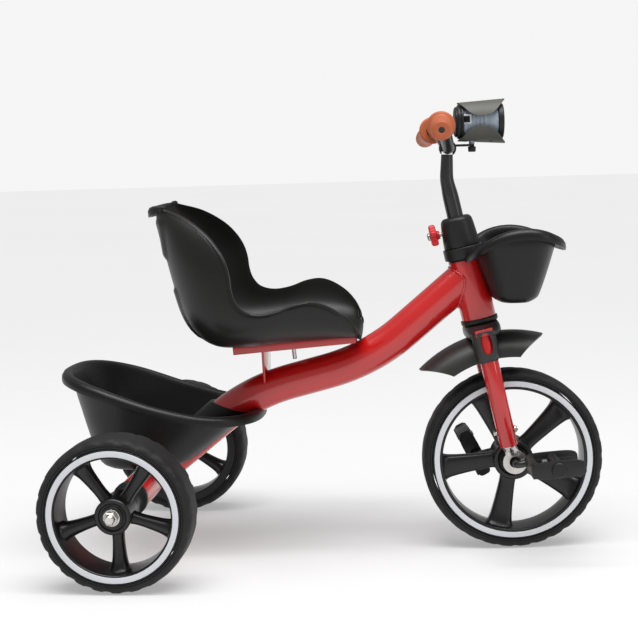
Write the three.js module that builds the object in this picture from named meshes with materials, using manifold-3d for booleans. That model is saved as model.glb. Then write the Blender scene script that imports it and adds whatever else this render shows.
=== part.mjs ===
// A children's tricycle: steel tube frame, raked fork, three spoked wheels, bucket seat and two baskets.
// Millimetres. +X is forward, +Y is the rider's left, +Z is up.
// The origin is on the ground, straight under the front axle.
import * as THREE from 'three';
import Module from 'manifold-3d';
import { mergeVertices } from 'three/addons/utils/BufferGeometryUtils.js';

const wasm = await Module();
wasm.setup();
const { Vector2, Vector3 } = THREE;
const radians = THREE.MathUtils.degToRad;

// ---- driving dimensions ----
const GAP = 0.35; // left between two pieces that touch
const WHEELBASE = 512.5;
const FRONT_AXLE_HEIGHT = 125;
const REAR_AXLE_HEIGHT = 102.2;
const STEERING_RAKE = 12; // degrees, top of the axis leans back
const STEERING_REST = 5.4; // degrees, the fork rests turned a little to the left
const ROUND_SIDES = 24; // facets of a wheel

const FRONT_WHEEL = {
  tyreRadius: (FRONT_AXLE_HEIGHT + 0.4) / Math.cos(Math.PI / ROUND_SIDES),
  tyreSeat: 112.6, halfWidth: 25, rimRadius: 111.4, barrelRadius: 98, barrelWall: 3.5,
  ringInner: 102.1, ringOuter: 109.5, hubRadius: 28, hubHalfLength: 27,
  bossRadius: 13, bossHalfLength: 37.8, hubBore: 5.6,
  spokeRoot: 11, spokeTip: 17, spokeDepth: 0.62, spokeAngle: 43,
};
const REAR_WHEEL = {
  tyreRadius: REAR_AXLE_HEIGHT / Math.cos(Math.PI / ROUND_SIDES),
  tyreSeat: 89.4, halfWidth: 28.5, rimRadius: 88.4, barrelRadius: 76, barrelWall: 3.5,
  ringInner: 78.7, ringOuter: 86.3, hubRadius: 24, hubHalfLength: 27,
  bossRadius: 14, bossHalfLength: 28.3, hubBore: 6.3,
  spokeRoot: 8, spokeTip: 11.5, spokeDepth: 1, spokeAngle: 55,
};
const SPOKES = 5;
const RING_THICKNESS = 1.2;
const REAR_TRACK_HALF = 215.1;

const MAIN_TUBE = { radius: 25, wall: 1.8, headAngle: 40, middleAngle: 14.5, rearAngle: 38.5, bend: 280, endAbove: 8 };
const MAIN_TUBE_CORNERS = [new Vector2(-193.7, 265.5), new Vector2(-364.5, 221.3)];
const HEAD_TUBE = { radius: 24, inner: 22, bottom: 201.5, top: 285 };
const CROSS_TUBE = { radius: 22.5, inner: 20.7, halfLength: 138 };
const AXLE_RADIUS = 6;

const LEG = { radius: 12.5, inner: 11, side: 41, back: -3, bottom: 24, top: 190 };
const STEERER = { radius: 13, inner: 11.4, bottom: 181, top: 338 };
const STEM_RADIUS = 11;
const BAR_RADIUS = 8.5;
const GRIP = { inner: 76, outer: 170, radius: 14.2, flange: 19.2 };
const CRANK = { rod: 5, length: 45, side: 64, end: 150, angle: 12 };
const PEDAL = { length: 72, thickness: 24, inner: 76, outer: 148, tilt: { left: 75, right: 8 } };
const SEAT = { wall: 4 };

const FINISH = {
  red: [0xc61c1a, 0.25, 0.2],
  black: [0x1c1c1c, 0.45, 0],
  seatBlack: [0x2b2b2a, 0.4, 0],
  tyre: [0x17171a, 0.9, 0],
  ring: [0xd8d8dc, 0.4, 0],
  zinc: [0xb4aba6, 0.3, 0.9],
  blackSteel: [0x141414, 0.3, 0.4],
  grip: [0xb9683e, 0.6, 0],
  lampGrey: [0x96a3b0, 0.5, 0],
  visor: [0x575752, 0.6, 0],
  lens: [0xdfe6ea, 0.1, 0],
};

// ---- geometry helpers ----
function signedVolume(position, index) {
  const a = new Vector3();
  const b = new Vector3();
  const c = new Vector3();
  let volume = 0;
  for (let i = 0; i < index.length; i += 3) {
    a.fromBufferAttribute(position, index[i]);
    b.fromBufferAttribute(position, index[i + 1]);
    c.fromBufferAttribute(position, index[i + 2]);
    volume += a.dot(b.cross(c)) / 6;
  }
  return volume;
}

// One closed shape: shared vertices merged, empty triangles dropped, faces turned outwards.
function tidy(geometry) {
  const bare = geometry.clone();
  bare.deleteAttribute('normal');
  bare.deleteAttribute('uv');
  const merged = mergeVertices(bare, 1e-3);
  const corners = merged.index.array;
  const kept = [];
  for (let i = 0; i < corners.length; i += 3) {
    const [a, b, c] = [corners[i], corners[i + 1], corners[i + 2]];
    if (a !== b && b !== c && c !== a) kept.push(a, b, c);
  }
  if (signedVolume(merged.attributes.position, kept) < 0) {
    for (let i = 0; i < kept.length; i += 3) [kept[i], kept[i + 1]] = [kept[i + 1], kept[i]];
  }
  merged.setIndex(kept);
  return merged;
}

function solid(geometry) {
  const clean = tidy(geometry);
  const vertProperties = new Float32Array(clean.attributes.position.array);
  const triVerts = new Uint32Array(clean.index.array);
  return new wasm.Manifold(new wasm.Mesh({ numProp: 3, vertProperties, triVerts }));
}

function surface(body) {
  const mesh = body.getMesh();
  const geometry = new THREE.BufferGeometry();
  geometry.setAttribute('position', new THREE.BufferAttribute(mesh.vertProperties, 3));
  geometry.setIndex(new THREE.BufferAttribute(mesh.triVerts, 1));
  return geometry;
}

function piece(name, geometry, [color, roughness, metalness]) {
  const shape = geometry.getMesh ? surface(geometry) : tidy(geometry);
  const mesh = new THREE.Mesh(shape, new THREE.MeshStandardMaterial({ color, roughness, metalness }));
  mesh.name = name;
  return mesh;
}

// The biggest of a shape's separate bodies, without the slivers that cutting leaves.
function largest(body) {
  return body.decompose().reduce((best, other) => (other.volume() > best.volume() ? other : best));
}

// A turned shape about the Z axis from [radius, height] points.
function turned(points, sides = 16) {
  const profile = [...points, points[0]].map(([r, z]) => new Vector2(r, z));
  return new THREE.LatheGeometry(profile, sides).rotateX(Math.PI / 2);
}

// The same, about the Y axis, with a flat facet at the bottom.
function turnedAcross(points, sides = ROUND_SIDES) {
  const profile = [...points, points[0]].map(([r, y]) => new Vector2(r, y));
  return new THREE.LatheGeometry(profile, sides).rotateY(Math.PI / sides);
}

function rod(radius, from, to, sides = 20) {
  const along = new Vector3().subVectors(to, from);
  const geometry = new THREE.CylinderGeometry(radius, radius, along.length(), sides);
  const turn = new THREE.Quaternion().setFromUnitVectors(new Vector3(0, 1, 0), along.clone().normalize());
  const middle = new Vector3().addVectors(from, to).multiplyScalar(0.5);
  return geometry.applyQuaternion(turn).translate(middle.x, middle.y, middle.z);
}

function block(sizeX, sizeY, sizeZ, x, y, z) {
  return new THREE.BoxGeometry(sizeX, sizeY, sizeZ).translate(x, y, z);
}

// Straight runs between the points, with rounded corners of the given radius.
function bentPath(points, radius) {
  const path = new THREE.CurvePath();
  let from = points[0];
  for (let i = 1; i < points.length - 1; i += 1) {
    const corner = points[i];
    const back = new Vector3().subVectors(points[i - 1], corner).normalize();
    const ahead = new Vector3().subVectors(points[i + 1], corner).normalize();
    const cut = radius / Math.tan(back.angleTo(ahead) / 2);
    const start = corner.clone().addScaledVector(back, cut);
    const end = corner.clone().addScaledVector(ahead, cut);
    path.add(new THREE.LineCurve3(from, start));
    path.add(new THREE.QuadraticBezierCurve3(start, corner, end));
    from = end;
  }
  path.add(new THREE.LineCurve3(from, points.at(-1)));
  return path;
}

function circle(radius, sides, inner = 0) {
  const ring = (r) => Array.from({ length: sides }, (_, i) => {
    const angle = (2 * Math.PI * i) / sides;
    return new Vector2(r * Math.cos(angle), r * Math.sin(angle));
  });
  const shape = new THREE.Shape(ring(radius));
  if (inner) shape.holes.push(new THREE.Path(ring(inner).reverse()));
  return shape;
}

function swept(shape, path, steps) {
  return new THREE.ExtrudeGeometry(shape, { steps, extrudePath: path });
}

// An outline in the X-Z plane, given depth along Y and centred on it.
function plate(points, depth) {
  const shape = new THREE.Shape(points.map(([x, z]) => new Vector2(x, z)));
  const geometry = new THREE.ExtrudeGeometry(shape, { depth, bevelEnabled: false });
  return geometry.translate(0, 0, -depth / 2).rotateX(Math.PI / 2);
}

function grid(rows, closed) {
  const count = rows[0].length;
  const index = [];
  const last = closed ? count : count - 1;
  for (let i = 0; i < rows.length - 1; i += 1) {
    for (let j = 0; j < last; j += 1) {
      const a = i * count + j;
      const b = i * count + ((j + 1) % count);
      index.push(a, b, b + count, a, b + count, a + count);
    }
  }
  return index;
}

function meshFrom(points, index) {
  const geometry = new THREE.BufferGeometry();
  const flat = points.flatMap((p) => [p.x, p.y, p.z]);
  geometry.setAttribute('position', new THREE.Float32BufferAttribute(flat, 3));
  geometry.setIndex(index);
  return geometry;
}

// A closed body through loops of equally many points, capped at both ends.
function loft(loops) {
  const points = loops.flat();
  const index = grid(loops, true);
  const count = loops[0].length;
  for (const [start, turn] of [[0, 1], [(loops.length - 1) * count, 0]]) {
    const centre = new Vector3();
    for (let j = 0; j < count; j += 1) centre.addScaledVector(points[start + j], 1 / count);
    points.push(centre);
    for (let j = 0; j < count; j += 1) {
      const pair = [start + j, start + ((j + 1) % count)];
      if (turn) pair.reverse();
      index.push(pair[0], pair[1], points.length - 1);
    }
  }
  return meshFrom(points, index);
}

// A sheet of even thickness: at(u, v) is its outer face, back(u, v) the matching point of its inner face.
function sheet(at, back, uSteps, vSteps) {
  const side = (f) => Array.from({ length: uSteps + 1 }, (_, i) => (
    Array.from({ length: vSteps + 1 }, (__, j) => f(i / uSteps, j / vSteps))));
  const outer = side(at);
  const inner = side(back);
  const size = (uSteps + 1) * (vSteps + 1);
  const index = grid(outer, false);
  const under = grid(inner, false);
  for (let i = 0; i < under.length; i += 3) {
    index.push(under[i + 1] + size, under[i] + size, under[i + 2] + size);
  }
  const edge = [];
  const row = vSteps + 1;
  for (let j = 0; j < vSteps; j += 1) edge.push(j);
  for (let i = 0; i < uSteps; i += 1) edge.push(i * row + vSteps);
  for (let j = vSteps; j > 0; j -= 1) edge.push(uSteps * row + j);
  for (let i = uSteps; i > 0; i -= 1) edge.push(i * row);
  edge.forEach((a, k) => {
    const b = edge[(k + 1) % edge.length];
    index.push(b, a, a + size, b, a + size, b + size);
  });
  return meshFrom([...outer.flat(), ...inner.flat()], index);
}

function superellipse(centreX, halfX, halfY, power, count, z) {
  return Array.from({ length: count }, (_, i) => {
    const angle = (2 * Math.PI * i) / count;
    const c = Math.cos(angle);
    const s = Math.sin(angle);
    return new Vector3(
      centreX + halfX * Math.sign(c) * Math.abs(c) ** (2 / power),
      halfY * Math.sign(s) * Math.abs(s) ** (2 / power),
      z,
    );
  });
}

// ---- the groups that pieces are placed in ----
const tricycle = new THREE.Group();
const steering = new THREE.Group(); // local +Z runs up the steering axis from the front axle
steering.position.z = FRONT_AXLE_HEIGHT;
steering.rotation.set(0, radians(-STEERING_RAKE), radians(STEERING_REST));
const level = new THREE.Group(); // level with the ground, from the front axle
level.rotation.y = radians(STEERING_RAKE);
steering.add(level);
tricycle.add(steering);

const rake = radians(STEERING_RAKE);
// The axis and any point on it, seen straight ahead in the frame's own coordinates.
const steeringAxis = new Vector3(-Math.sin(rake), 0, Math.cos(rake));
function onSteeringAxis(distance) {
  return steeringAxis.clone().multiplyScalar(distance).add(new Vector3(0, 0, FRONT_AXLE_HEIGHT));
}

// ---- frame ----
function mainTubePath(extension) {
  const [front, rear] = MAIN_TUBE_CORNERS;
  const slope = (angle) => Math.tan(radians(angle));
  const rise = slope(MAIN_TUBE.headAngle);
  const lean = Math.tan(rake);
  const headHeight = (front.y - rise * front.x + rise * lean * FRONT_AXLE_HEIGHT) / (1 + rise * lean);
  const headX = -lean * (headHeight - FRONT_AXLE_HEIGHT);
  const rearHeight = REAR_AXLE_HEIGHT + MAIN_TUBE.endAbove - extension;
  const rearX = rear.x + (rearHeight - rear.y) / slope(MAIN_TUBE.rearAngle);
  return bentPath([
    new Vector3(headX, 0, headHeight),
    new Vector3(front.x, 0, front.y),
    new Vector3(rear.x, 0, rear.y),
    new Vector3(rearX, 0, rearHeight),
  ], MAIN_TUBE.bend);
}

function mainTube(extra = 0, inner = MAIN_TUBE.radius - MAIN_TUBE.wall, extension = 0) {
  return solid(swept(circle(MAIN_TUBE.radius + extra, 16, inner), mainTubePath(extension), 10));
}

const rearAxle = new Vector3(-WHEELBASE, 0, REAR_AXLE_HEIGHT);
function across(distance) {
  return rearAxle.clone().setY(distance);
}

// The seat and its plate lean back together; these run in the seat's own frame, from the nose of the pan.
const SEAT_SLOPE = 4.7;
const seatGroup = new THREE.Group();
seatGroup.position.set(-198, 0, 306.5);
seatGroup.rotation.y = -radians(SEAT_SLOPE);
tricycle.add(seatGroup);

// How far along the seat each bolt stands, and how low its shank may reach over the main tube.
const SEAT_BOLTS = { front: { x: -45, tip: -13 }, rear: { x: -106, tip: -30 } };
const PLATE = { front: -14, rear: -186, half: 41, flange: 11, thickness: 2.2 };

function seatBoltHole(x) {
  return solid(rod(3.4, new Vector3(x, 0, -40), new Vector3(x, 0, 20), 12));
}

// The main tube, grown by the given amount, as the seat's frame sees it.
function mainTubeInSeat(grow) {
  seatGroup.updateMatrixWorld(true);
  const outside = surface(mainTube(grow, 0));
  return solid(outside.applyMatrix4(seatGroup.matrixWorld.clone().invert()));
}

function seatPlate() {
  const { front, rear, half, flange, thickness } = PLATE;
  const folded = solid(block(front - rear, 2 * half, flange, (front + rear) / 2, 0, -GAP - flange / 2))
    .subtract(solid(block(
      front - rear - 2 * thickness, 2 * (half - thickness), flange + 5,
      (front + rear) / 2, 0, -GAP - thickness - (flange + 5) / 2,
    )));
  return folded.subtract(mainTubeInSeat(GAP))
    .subtract(seatBoltHole(SEAT_BOLTS.front.x))
    .subtract(seatBoltHole(SEAT_BOLTS.rear.x));
}

const STRUT = { x: -342, top: 291.3, bottom: 236, halfTop: 38, halfBottom: 27, thickness: 4 };

function seatStrut() {
  const { top, bottom, halfTop, halfBottom } = STRUT;
  const outline = [[-halfTop, top], [halfTop, top], [halfBottom, bottom], [-halfBottom, bottom]];
  const leaf = plate(outline, STRUT.thickness).rotateZ(Math.PI / 2).translate(STRUT.x, 0, 0);
  return solid(leaf).subtract(mainTube(GAP, 0));
}

function addFrame() {
  const head = turned([
    [HEAD_TUBE.inner, HEAD_TUBE.bottom], [HEAD_TUBE.radius, HEAD_TUBE.bottom],
    [HEAD_TUBE.radius, HEAD_TUBE.top], [HEAD_TUBE.inner, HEAD_TUBE.top],
  ], 28).rotateY(-rake).translate(0, 0, FRONT_AXLE_HEIGHT);
  const headClear = rod(HEAD_TUBE.radius + GAP, onSteeringAxis(190), onSteeringAxis(300), 28);
  const crossClear = rod(CROSS_TUBE.radius + GAP, across(-150), across(150), 24);
  const cross = turnedAcross([
    [CROSS_TUBE.inner, -CROSS_TUBE.halfLength], [CROSS_TUBE.radius, -CROSS_TUBE.halfLength],
    [CROSS_TUBE.radius, CROSS_TUBE.halfLength], [CROSS_TUBE.inner, CROSS_TUBE.halfLength],
  ], 24).translate(rearAxle.x, 0, rearAxle.z);
  tricycle.add(
    piece('main_tube', mainTube().subtract(solid(headClear)).subtract(solid(crossClear)), FINISH.red),
    piece('head_tube', head, FINISH.red),
    piece('rear_cross_tube', cross, FINISH.red),
    piece('seat_strut', seatStrut(), FINISH.red),
  );
  // The two headset bearings' plastic bushes; the lower one shows as a ring under the head tube.
  const lower = turned([
    [13.5, 194], [24.2, 194], [25.8, 196], [25.8, 201.1], [21.6, 201.1], [21.6, 212], [13.5, 212],
  ]);
  const upper = turned([
    [13.5, 273], [21.6, 273], [21.6, 285.4], [23.5, 285.4], [23.5, 287], [13.5, 287],
  ]);
  for (const [name, bush] of [['headset_lower_bush', lower], ['headset_upper_bush', upper]]) {
    tricycle.add(piece(name, bush.rotateY(-rake).translate(0, 0, FRONT_AXLE_HEIGHT), FINISH.black));
  }
}

// ---- seat ----
// The seat is a U-shaped sheet along a spine: pan, a round corner, then the leaning back.
const SPINE = { corner: -152, radius: 98, lean: 10.8, back: 122 };

function spine(t) {
  const straight = -SPINE.corner;
  const angle = radians(90 - SPINE.lean);
  const arc = SPINE.radius * angle;
  const travelled = t * (straight + arc + SPINE.back);
  if (travelled < straight) return { x: -travelled, z: 0, turn: 0 };
  const turn = Math.min((travelled - straight) / SPINE.radius, angle);
  const climbed = Math.max(travelled - straight - arc, 0);
  return {
    x: SPINE.corner - SPINE.radius * Math.sin(turn) - climbed * Math.sin(radians(SPINE.lean)),
    z: SPINE.radius * (1 - Math.cos(turn)) + climbed * Math.cos(radians(SPINE.lean)),
    turn,
  };
}

// Values along the spine, eased between neighbours.
function along(stations, t) {
  let i = 1;
  while (i < stations.length - 1 && stations[i][0] < t) i += 1;
  const [t0, a] = stations[i - 1];
  const [t1, b] = stations[i];
  const share = THREE.MathUtils.clamp((t - t0) / (t1 - t0), 0, 1);
  return a + (b - a) * share * share * (3 - 2 * share);
}

const SEAT_DEPTH = [[0, 6], [0.07, 36], [0.155, 58], [0.3, 50], [0.42, 66], [0.52, 88], [0.7, 98], [0.88, 70], [1, 12]];
const SEAT_HALF = [[0, 92], [0.12, 116], [0.35, 120], [0.6, 126], [0.8, 118], [0.93, 92], [1, 62]];

function seatPoint(t, v, inset) {
  const { x, z, turn } = spine(t);
  const side = 2 * v - 1;
  const angle = (Math.abs(side) * Math.PI) / 2;
  const power = 2 / 2.7;
  const half = along(SEAT_HALF, t) - inset;
  const depth = along(SEAT_DEPTH, t);
  const y = Math.sign(side) * half * Math.sin(angle) ** power;
  const rise = inset + (depth - inset) * (1 - Math.max(Math.cos(angle), 0) ** power);
  return new Vector3(x + Math.sin(turn) * rise, y, z + Math.cos(turn) * rise);
}

function seatShell() {
  const shell = sheet((t, v) => seatPoint(t, v, 0), (t, v) => seatPoint(t, v, SEAT.wall), 18, 10);
  const slot = loft([-60, 60].map((x) => superellipse(0, 8, 34, 3, 12, x)))
    .rotateY(Math.PI / 2 + radians(6)).translate(-266, 0, 184);
  return solid(shell).subtract(solid(slot))
    .subtract(seatBoltHole(SEAT_BOLTS.front.x))
    .subtract(seatBoltHole(SEAT_BOLTS.rear.x));
}

function addSeat() {
  seatGroup.add(
    piece('seat_plate', seatPlate(), FINISH.red),
    piece('seat_shell', seatShell(), FINISH.seatBlack),
  );
  const clear = mainTubeInSeat(GAP);
  const under = -PLATE.thickness - 2 * GAP;
  for (const [place, { x, tip }] of Object.entries(SEAT_BOLTS)) {
    const bolt = turned([
      [0, tip], [3, tip], [3, SEAT.wall + 0.3], [8, SEAT.wall + 0.3], [6.5, SEAT.wall + 3.6], [0, SEAT.wall + 4.6],
    ], 12).translate(x, 0, 0);
    const nut = turned([
      [3.3, under - 6.5], [5, under - 6.5], [5, under - 1.6], [8.5, under - 1.6], [8.5, under], [3.3, under],
    ], 12).translate(x, 0, 0);
    seatGroup.add(
      piece(`seat_bolt_${place}`, solid(bolt).subtract(clear), FINISH.blackSteel),
      piece(`seat_nut_${place}`, solid(nut).subtract(clear), FINISH.zinc),
    );
  }
}

// ---- rear basket ----
const TUB = { floor: 125.4, rear: -614, front: -354, half: 112, wall: 2.6, lip: 8 };
const TUB_RIM = [[-660, 262], [-618, 259], [-560, 243], [-472, 213], [-400, 198], [-300, 197]];

// The tub's outline at a height, grown outwards by the given amount.
function tubLoop(z, grow) {
  const rise = Math.max((z - TUB.floor) / (240 - TUB.floor), 0);
  const bulge = rise ** 0.75;
  const frontRise = THREE.MathUtils.clamp((z - TUB.floor) / (200 - TUB.floor), 0, 1.1);
  const rear = -578 + (TUB.rear + 578) * bulge - grow;
  const front = -455 + (TUB.front + 455) * frontRise + grow;
  const half = 76 + (TUB.half - 76) * bulge + grow;
  return superellipse((rear + front) / 2, (front - rear) / 2, half, 2.7, 18, z);
}

function rearBasket() {
  const heights = [TUB.floor, 134, 158, 205, 275];
  const inset = (z) => (z === TUB.floor ? -6 : 0);
  const outer = solid(loft(heights.map((z) => tubLoop(z, inset(z)))));
  const inner = solid(loft(heights.map((z) => tubLoop(z, inset(z) - TUB.wall)).map((loop, i) => (
    loop.map((p) => p.clone().setZ(p.z + (i ? 0 : TUB.wall)))))));
  const band = (drop) => solid(plate([
    ...TUB_RIM.map(([x, z]) => [x, z - drop]), [-300, 300 - drop], [-660, 300 - drop],
  ], 400));
  const lip = solid(loft(heights.slice(2).map((z) => tubLoop(z, TUB.lip)))).subtract(inner);
  const above = band(0);
  const rim = lip.subtract(above).intersect(band(5));
  const channel = mainTube(3.6, 0, 14).intersect(outer);
  return largest(outer.subtract(inner).add(rim).add(channel).subtract(above)
    .subtract(mainTube(1, 0))
    .subtract(solid(rod(CROSS_TUBE.radius + GAP, across(-150), across(150), 24))));
}

// ---- rear axle ----
const BUSH = { inner: 138.4, outer: 186, collar: 146 };
const NUT = { washer: 243.8, face: 245.8, end: 253, stub: 259 };

function addRearAxle() {
  const axle = rod(AXLE_RADIUS, across(-NUT.stub), across(NUT.stub), 20);
  tricycle.add(piece('rear_axle', axle, FINISH.zinc));
  for (const [side, sign] of [['left', 1], ['right', -1]]) {
    const place = (geometry) => geometry.scale(1, sign, 1).translate(rearAxle.x, 0, rearAxle.z);
    const bush = turnedAcross([
      [AXLE_RADIUS + 0.2, 126], [20.4, 126], [20.4, BUSH.inner], [24, BUSH.inner], [24, BUSH.collar],
      [17, BUSH.collar + 3], [17, BUSH.outer], [AXLE_RADIUS + 0.2, BUSH.outer],
    ], 16);
    const washer = turnedAcross([
      [AXLE_RADIUS + 0.2, NUT.washer], [11, NUT.washer], [11, NUT.face - 0.3], [AXLE_RADIUS + 0.2, NUT.face - 0.3],
    ], 16);
    const nut = turnedAcross([
      [AXLE_RADIUS + 1.2, NUT.face], [9.5, NUT.face], [9.5, NUT.end], [AXLE_RADIUS + 1.2, NUT.end],
    ], 6);
    tricycle.add(
      piece(`axle_bush_${side}`, place(bush), FINISH.black),
      piece(`rear_washer_${side}`, place(washer), FINISH.zinc),
      piece(`rear_nut_${side}`, place(nut), FINISH.zinc),
    );
  }
}

// ---- wheels ----
function spokeGeometry(wheel, index, phase) {
  const from = wheel.hubRadius - 5;
  const to = wheel.barrelRadius + 1.5;
  const geometry = new THREE.CylinderGeometry(wheel.spokeTip, wheel.spokeRoot, to - from, 6);
  geometry.rotateZ(-Math.PI / 2).translate((from + to) / 2, 0, 0).scale(1, wheel.spokeDepth, 1);
  return geometry.rotateY(-radians(phase + (360 / SPOKES) * index));
}

function wheelRim(wheel, phase) {
  const w = wheel.halfWidth;
  const barrel = turnedAcross([
    [wheel.barrelRadius, -w], [wheel.rimRadius, -w], [wheel.rimRadius, 4 - w],
    [wheel.barrelRadius + wheel.barrelWall, 4 - w], [wheel.barrelRadius + wheel.barrelWall, w - 4],
    [wheel.rimRadius, w - 4], [wheel.rimRadius, w], [wheel.barrelRadius, w],
  ]);
  const long = wheel.hubHalfLength;
  const boss = wheel.bossHalfLength;
  const hub = turnedAcross([
    [wheel.hubBore, -boss], [wheel.bossRadius, -boss], [wheel.bossRadius, -long],
    [wheel.hubRadius - 3, -long], [wheel.hubRadius, 3 - long],
    [wheel.hubRadius, long - 3], [wheel.hubRadius - 3, long],
    [wheel.bossRadius, long], [wheel.bossRadius, boss], [wheel.hubBore, boss],
  ], 16);
  const spokes = Array.from({ length: SPOKES }, (_, i) => solid(spokeGeometry(wheel, i, phase)));
  const bore = solid(rod(wheel.hubBore, new Vector3(0, -60, 0), new Vector3(0, 60, 0), 16));
  const body = spokes.reduce((sum, spoke) => sum.add(spoke), solid(barrel).add(solid(hub)));
  return body.subtract(bore);
}

function tyreGeometry(wheel) {
  const { tyreRadius: r, tyreSeat: seat, halfWidth: w } = wheel;
  return turnedAcross([
    [seat, -w], [r - 5, -w], [r - 1.2, 4 - w], [r, 9 - w], [r, w - 9], [r - 1.2, w - 4], [r - 5, w], [seat, w],
  ]);
}

function ringGeometry(wheel, sign) {
  const inner = wheel.halfWidth + GAP;
  const outer = inner + RING_THICKNESS;
  return turnedAcross([
    [wheel.ringInner, sign * inner], [wheel.ringOuter, sign * inner],
    [wheel.ringOuter, sign * outer], [wheel.ringInner, sign * outer],
  ]);
}

function addRearWheels() {
  for (const [side, sign] of [['left', 1], ['right', -1]]) {
    const wheel = new THREE.Group();
    wheel.position.set(rearAxle.x, sign * REAR_TRACK_HALF, rearAxle.z);
    wheel.add(
      piece(`rear_tyre_${side}`, tyreGeometry(REAR_WHEEL), FINISH.tyre),
      piece(`rear_rim_${side}`, wheelRim(REAR_WHEEL, REAR_WHEEL.spokeAngle), FINISH.black),
      piece(`rear_ring_${side}`, ringGeometry(REAR_WHEEL, sign), FINISH.ring),
    );
    tricycle.add(wheel);
  }
}

// Everything below the ground, seen from inside the turned steering group.
function underground() {
  steering.updateMatrixWorld(true);
  const box = block(400, 400, 100, 0, 0, -50);
  return solid(box.applyMatrix4(steering.matrixWorld.clone().invert()));
}

function crankDirection() {
  const angle = radians(CRANK.angle - STEERING_RAKE);
  return new Vector3(Math.cos(angle), 0, Math.sin(angle)).multiplyScalar(CRANK.length);
}

function addFrontWheel() {
  const phase = FRONT_WHEEL.spokeAngle - STEERING_RAKE;
  const throwOut = crankDirection();
  const half = (sign) => [
    throwOut.clone().multiplyScalar(sign).setY(-sign * CRANK.end),
    throwOut.clone().multiplyScalar(sign).setY(-sign * CRANK.side),
    new Vector3(0, -sign * CRANK.side, 0),
  ];
  const path = bentPath([...half(1), ...half(-1).reverse()], 8);
  steering.add(
    piece('front_tyre', solid(tyreGeometry(FRONT_WHEEL)).subtract(underground()), FINISH.tyre),
    piece('front_rim', wheelRim(FRONT_WHEEL, phase), FINISH.black),
    piece('front_ring_left', ringGeometry(FRONT_WHEEL, 1), FINISH.ring),
    piece('front_ring_right', ringGeometry(FRONT_WHEEL, -1), FINISH.ring),
    piece('crank_axle', swept(circle(CRANK.rod, 8), path, 26), FINISH.blackSteel),
  );
}

function pedal(sign, tilt) {
  const { length, thickness, inner, outer } = PEDAL;
  const width = outer - inner;
  const outline = superellipse(0, length / 2, thickness / 2, 4, 20, 0);
  const body = loft([-width / 2, width / 2].map((z) => outline.map((p) => p.clone().setZ(z))))
    .rotateX(Math.PI / 2).rotateY(radians(tilt));
  let pad = solid(body);
  for (const x of [-21, 21]) {
    pad = pad.subtract(solid(block(17, width - 18, 60, x, 0, 0).rotateY(radians(tilt))));
  }
  const bore = rod(CRANK.rod + 0.35, new Vector3(0, -60, 0), new Vector3(0, 60, 0), 16);
  const centre = crankDirection().multiplyScalar(-sign).setY(sign * (inner + outer) / 2);
  return pad.subtract(solid(bore)).translate([centre.x, centre.y, centre.z]);
}

// ---- fork ----
function forkLeg(sign) {
  const x = LEG.back;
  const y = sign * LEG.side;
  const leg = solid(rod(LEG.radius, new Vector3(x, y, LEG.bottom), new Vector3(x, y, LEG.top), 16));
  return leg.subtract(solid(rod(LEG.inner, new Vector3(x, y, LEG.bottom - 5), new Vector3(x, y, LEG.top - 2), 16)))
    .subtract(boltHole(sign));
}

const FORK_BOLT = { height: 45, radius: 2.5, reach: 17 };
function boltHole(sign) {
  const at = (x) => new Vector3(LEG.back + x, sign * LEG.side, FORK_BOLT.height);
  return solid(rod(FORK_BOLT.radius + 0.3, at(-40), at(40), 12));
}

// The plug sits in the leg; below it the tip is pressed flat into a round eye for the axle.
function forkTip(sign) {
  const y = sign * LEG.side;
  const plug = rod(LEG.inner - GAP, new Vector3(LEG.back, y, 20), new Vector3(LEG.back, y, 60), 16);
  const ear = plate([[-11, 23.6], [6, 23.6], [15, 8], [10, -6], [-10, -6], [-15, 8]], 5).translate(0, y, 0);
  const eye = rod(17, new Vector3(0, y - 2.5, 0), new Vector3(0, y + 2.5, 0), 28);
  const bore = rod(CRANK.rod + 0.4, new Vector3(0, y - 20, 0), new Vector3(0, y + 20, 0), 16);
  return solid(plug).add(solid(ear)).add(solid(eye)).subtract(solid(bore)).subtract(boltHole(sign));
}

function forkBolt(sign) {
  const at = (x) => new Vector3(LEG.back + x, sign * LEG.side, FORK_BOLT.height);
  const shank = rod(FORK_BOLT.radius, at(-FORK_BOLT.reach), at(FORK_BOLT.reach), 12);
  const head = rod(4.6, at(-FORK_BOLT.reach), at(-LEG.radius - GAP), 6);
  const nut = rod(4.6, at(LEG.radius + GAP), at(FORK_BOLT.reach), 6);
  return solid(shank).add(solid(head)).add(solid(nut));
}

function forkCrown() {
  const bar = block(24, 2 * LEG.side + 26, 9, LEG.back + 1, 0, 185.5);
  const legs = [1, -1].map((sign) => solid(rod(
    LEG.radius + GAP, new Vector3(LEG.back, sign * LEG.side, 150), new Vector3(LEG.back, sign * LEG.side, 200), 16)));
  const steererClear = rod(STEERER.radius + GAP, new Vector3(0, 0, 150), new Vector3(0, 0, 200), 24);
  return solid(bar).subtract(legs[0]).subtract(legs[1]).subtract(solid(steererClear));
}

// The mudguard arches over the tyre and is one piece with the cover round the top of the fork.
const GUARD = { crown: 179, edge: 145, half: 40, front: 63, rear: 123, wall: 2.8 };

function guardPoint(t, v, inset) {
  const side = (2 * v - 1) * (Math.PI / 2);
  const pointed = 10 * (1 - Math.cos(side)); // the ends run out to a tip in the middle
  const angle = radians(THREE.MathUtils.lerp(GUARD.front + pointed, GUARD.rear - pointed, t));
  const radius = GUARD.edge + (GUARD.crown - GUARD.edge - inset) * Math.cos(side);
  const y = (GUARD.half - inset) * Math.sin(side);
  return new Vector3(radius * Math.cos(angle), y, radius * Math.sin(angle));
}

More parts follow.
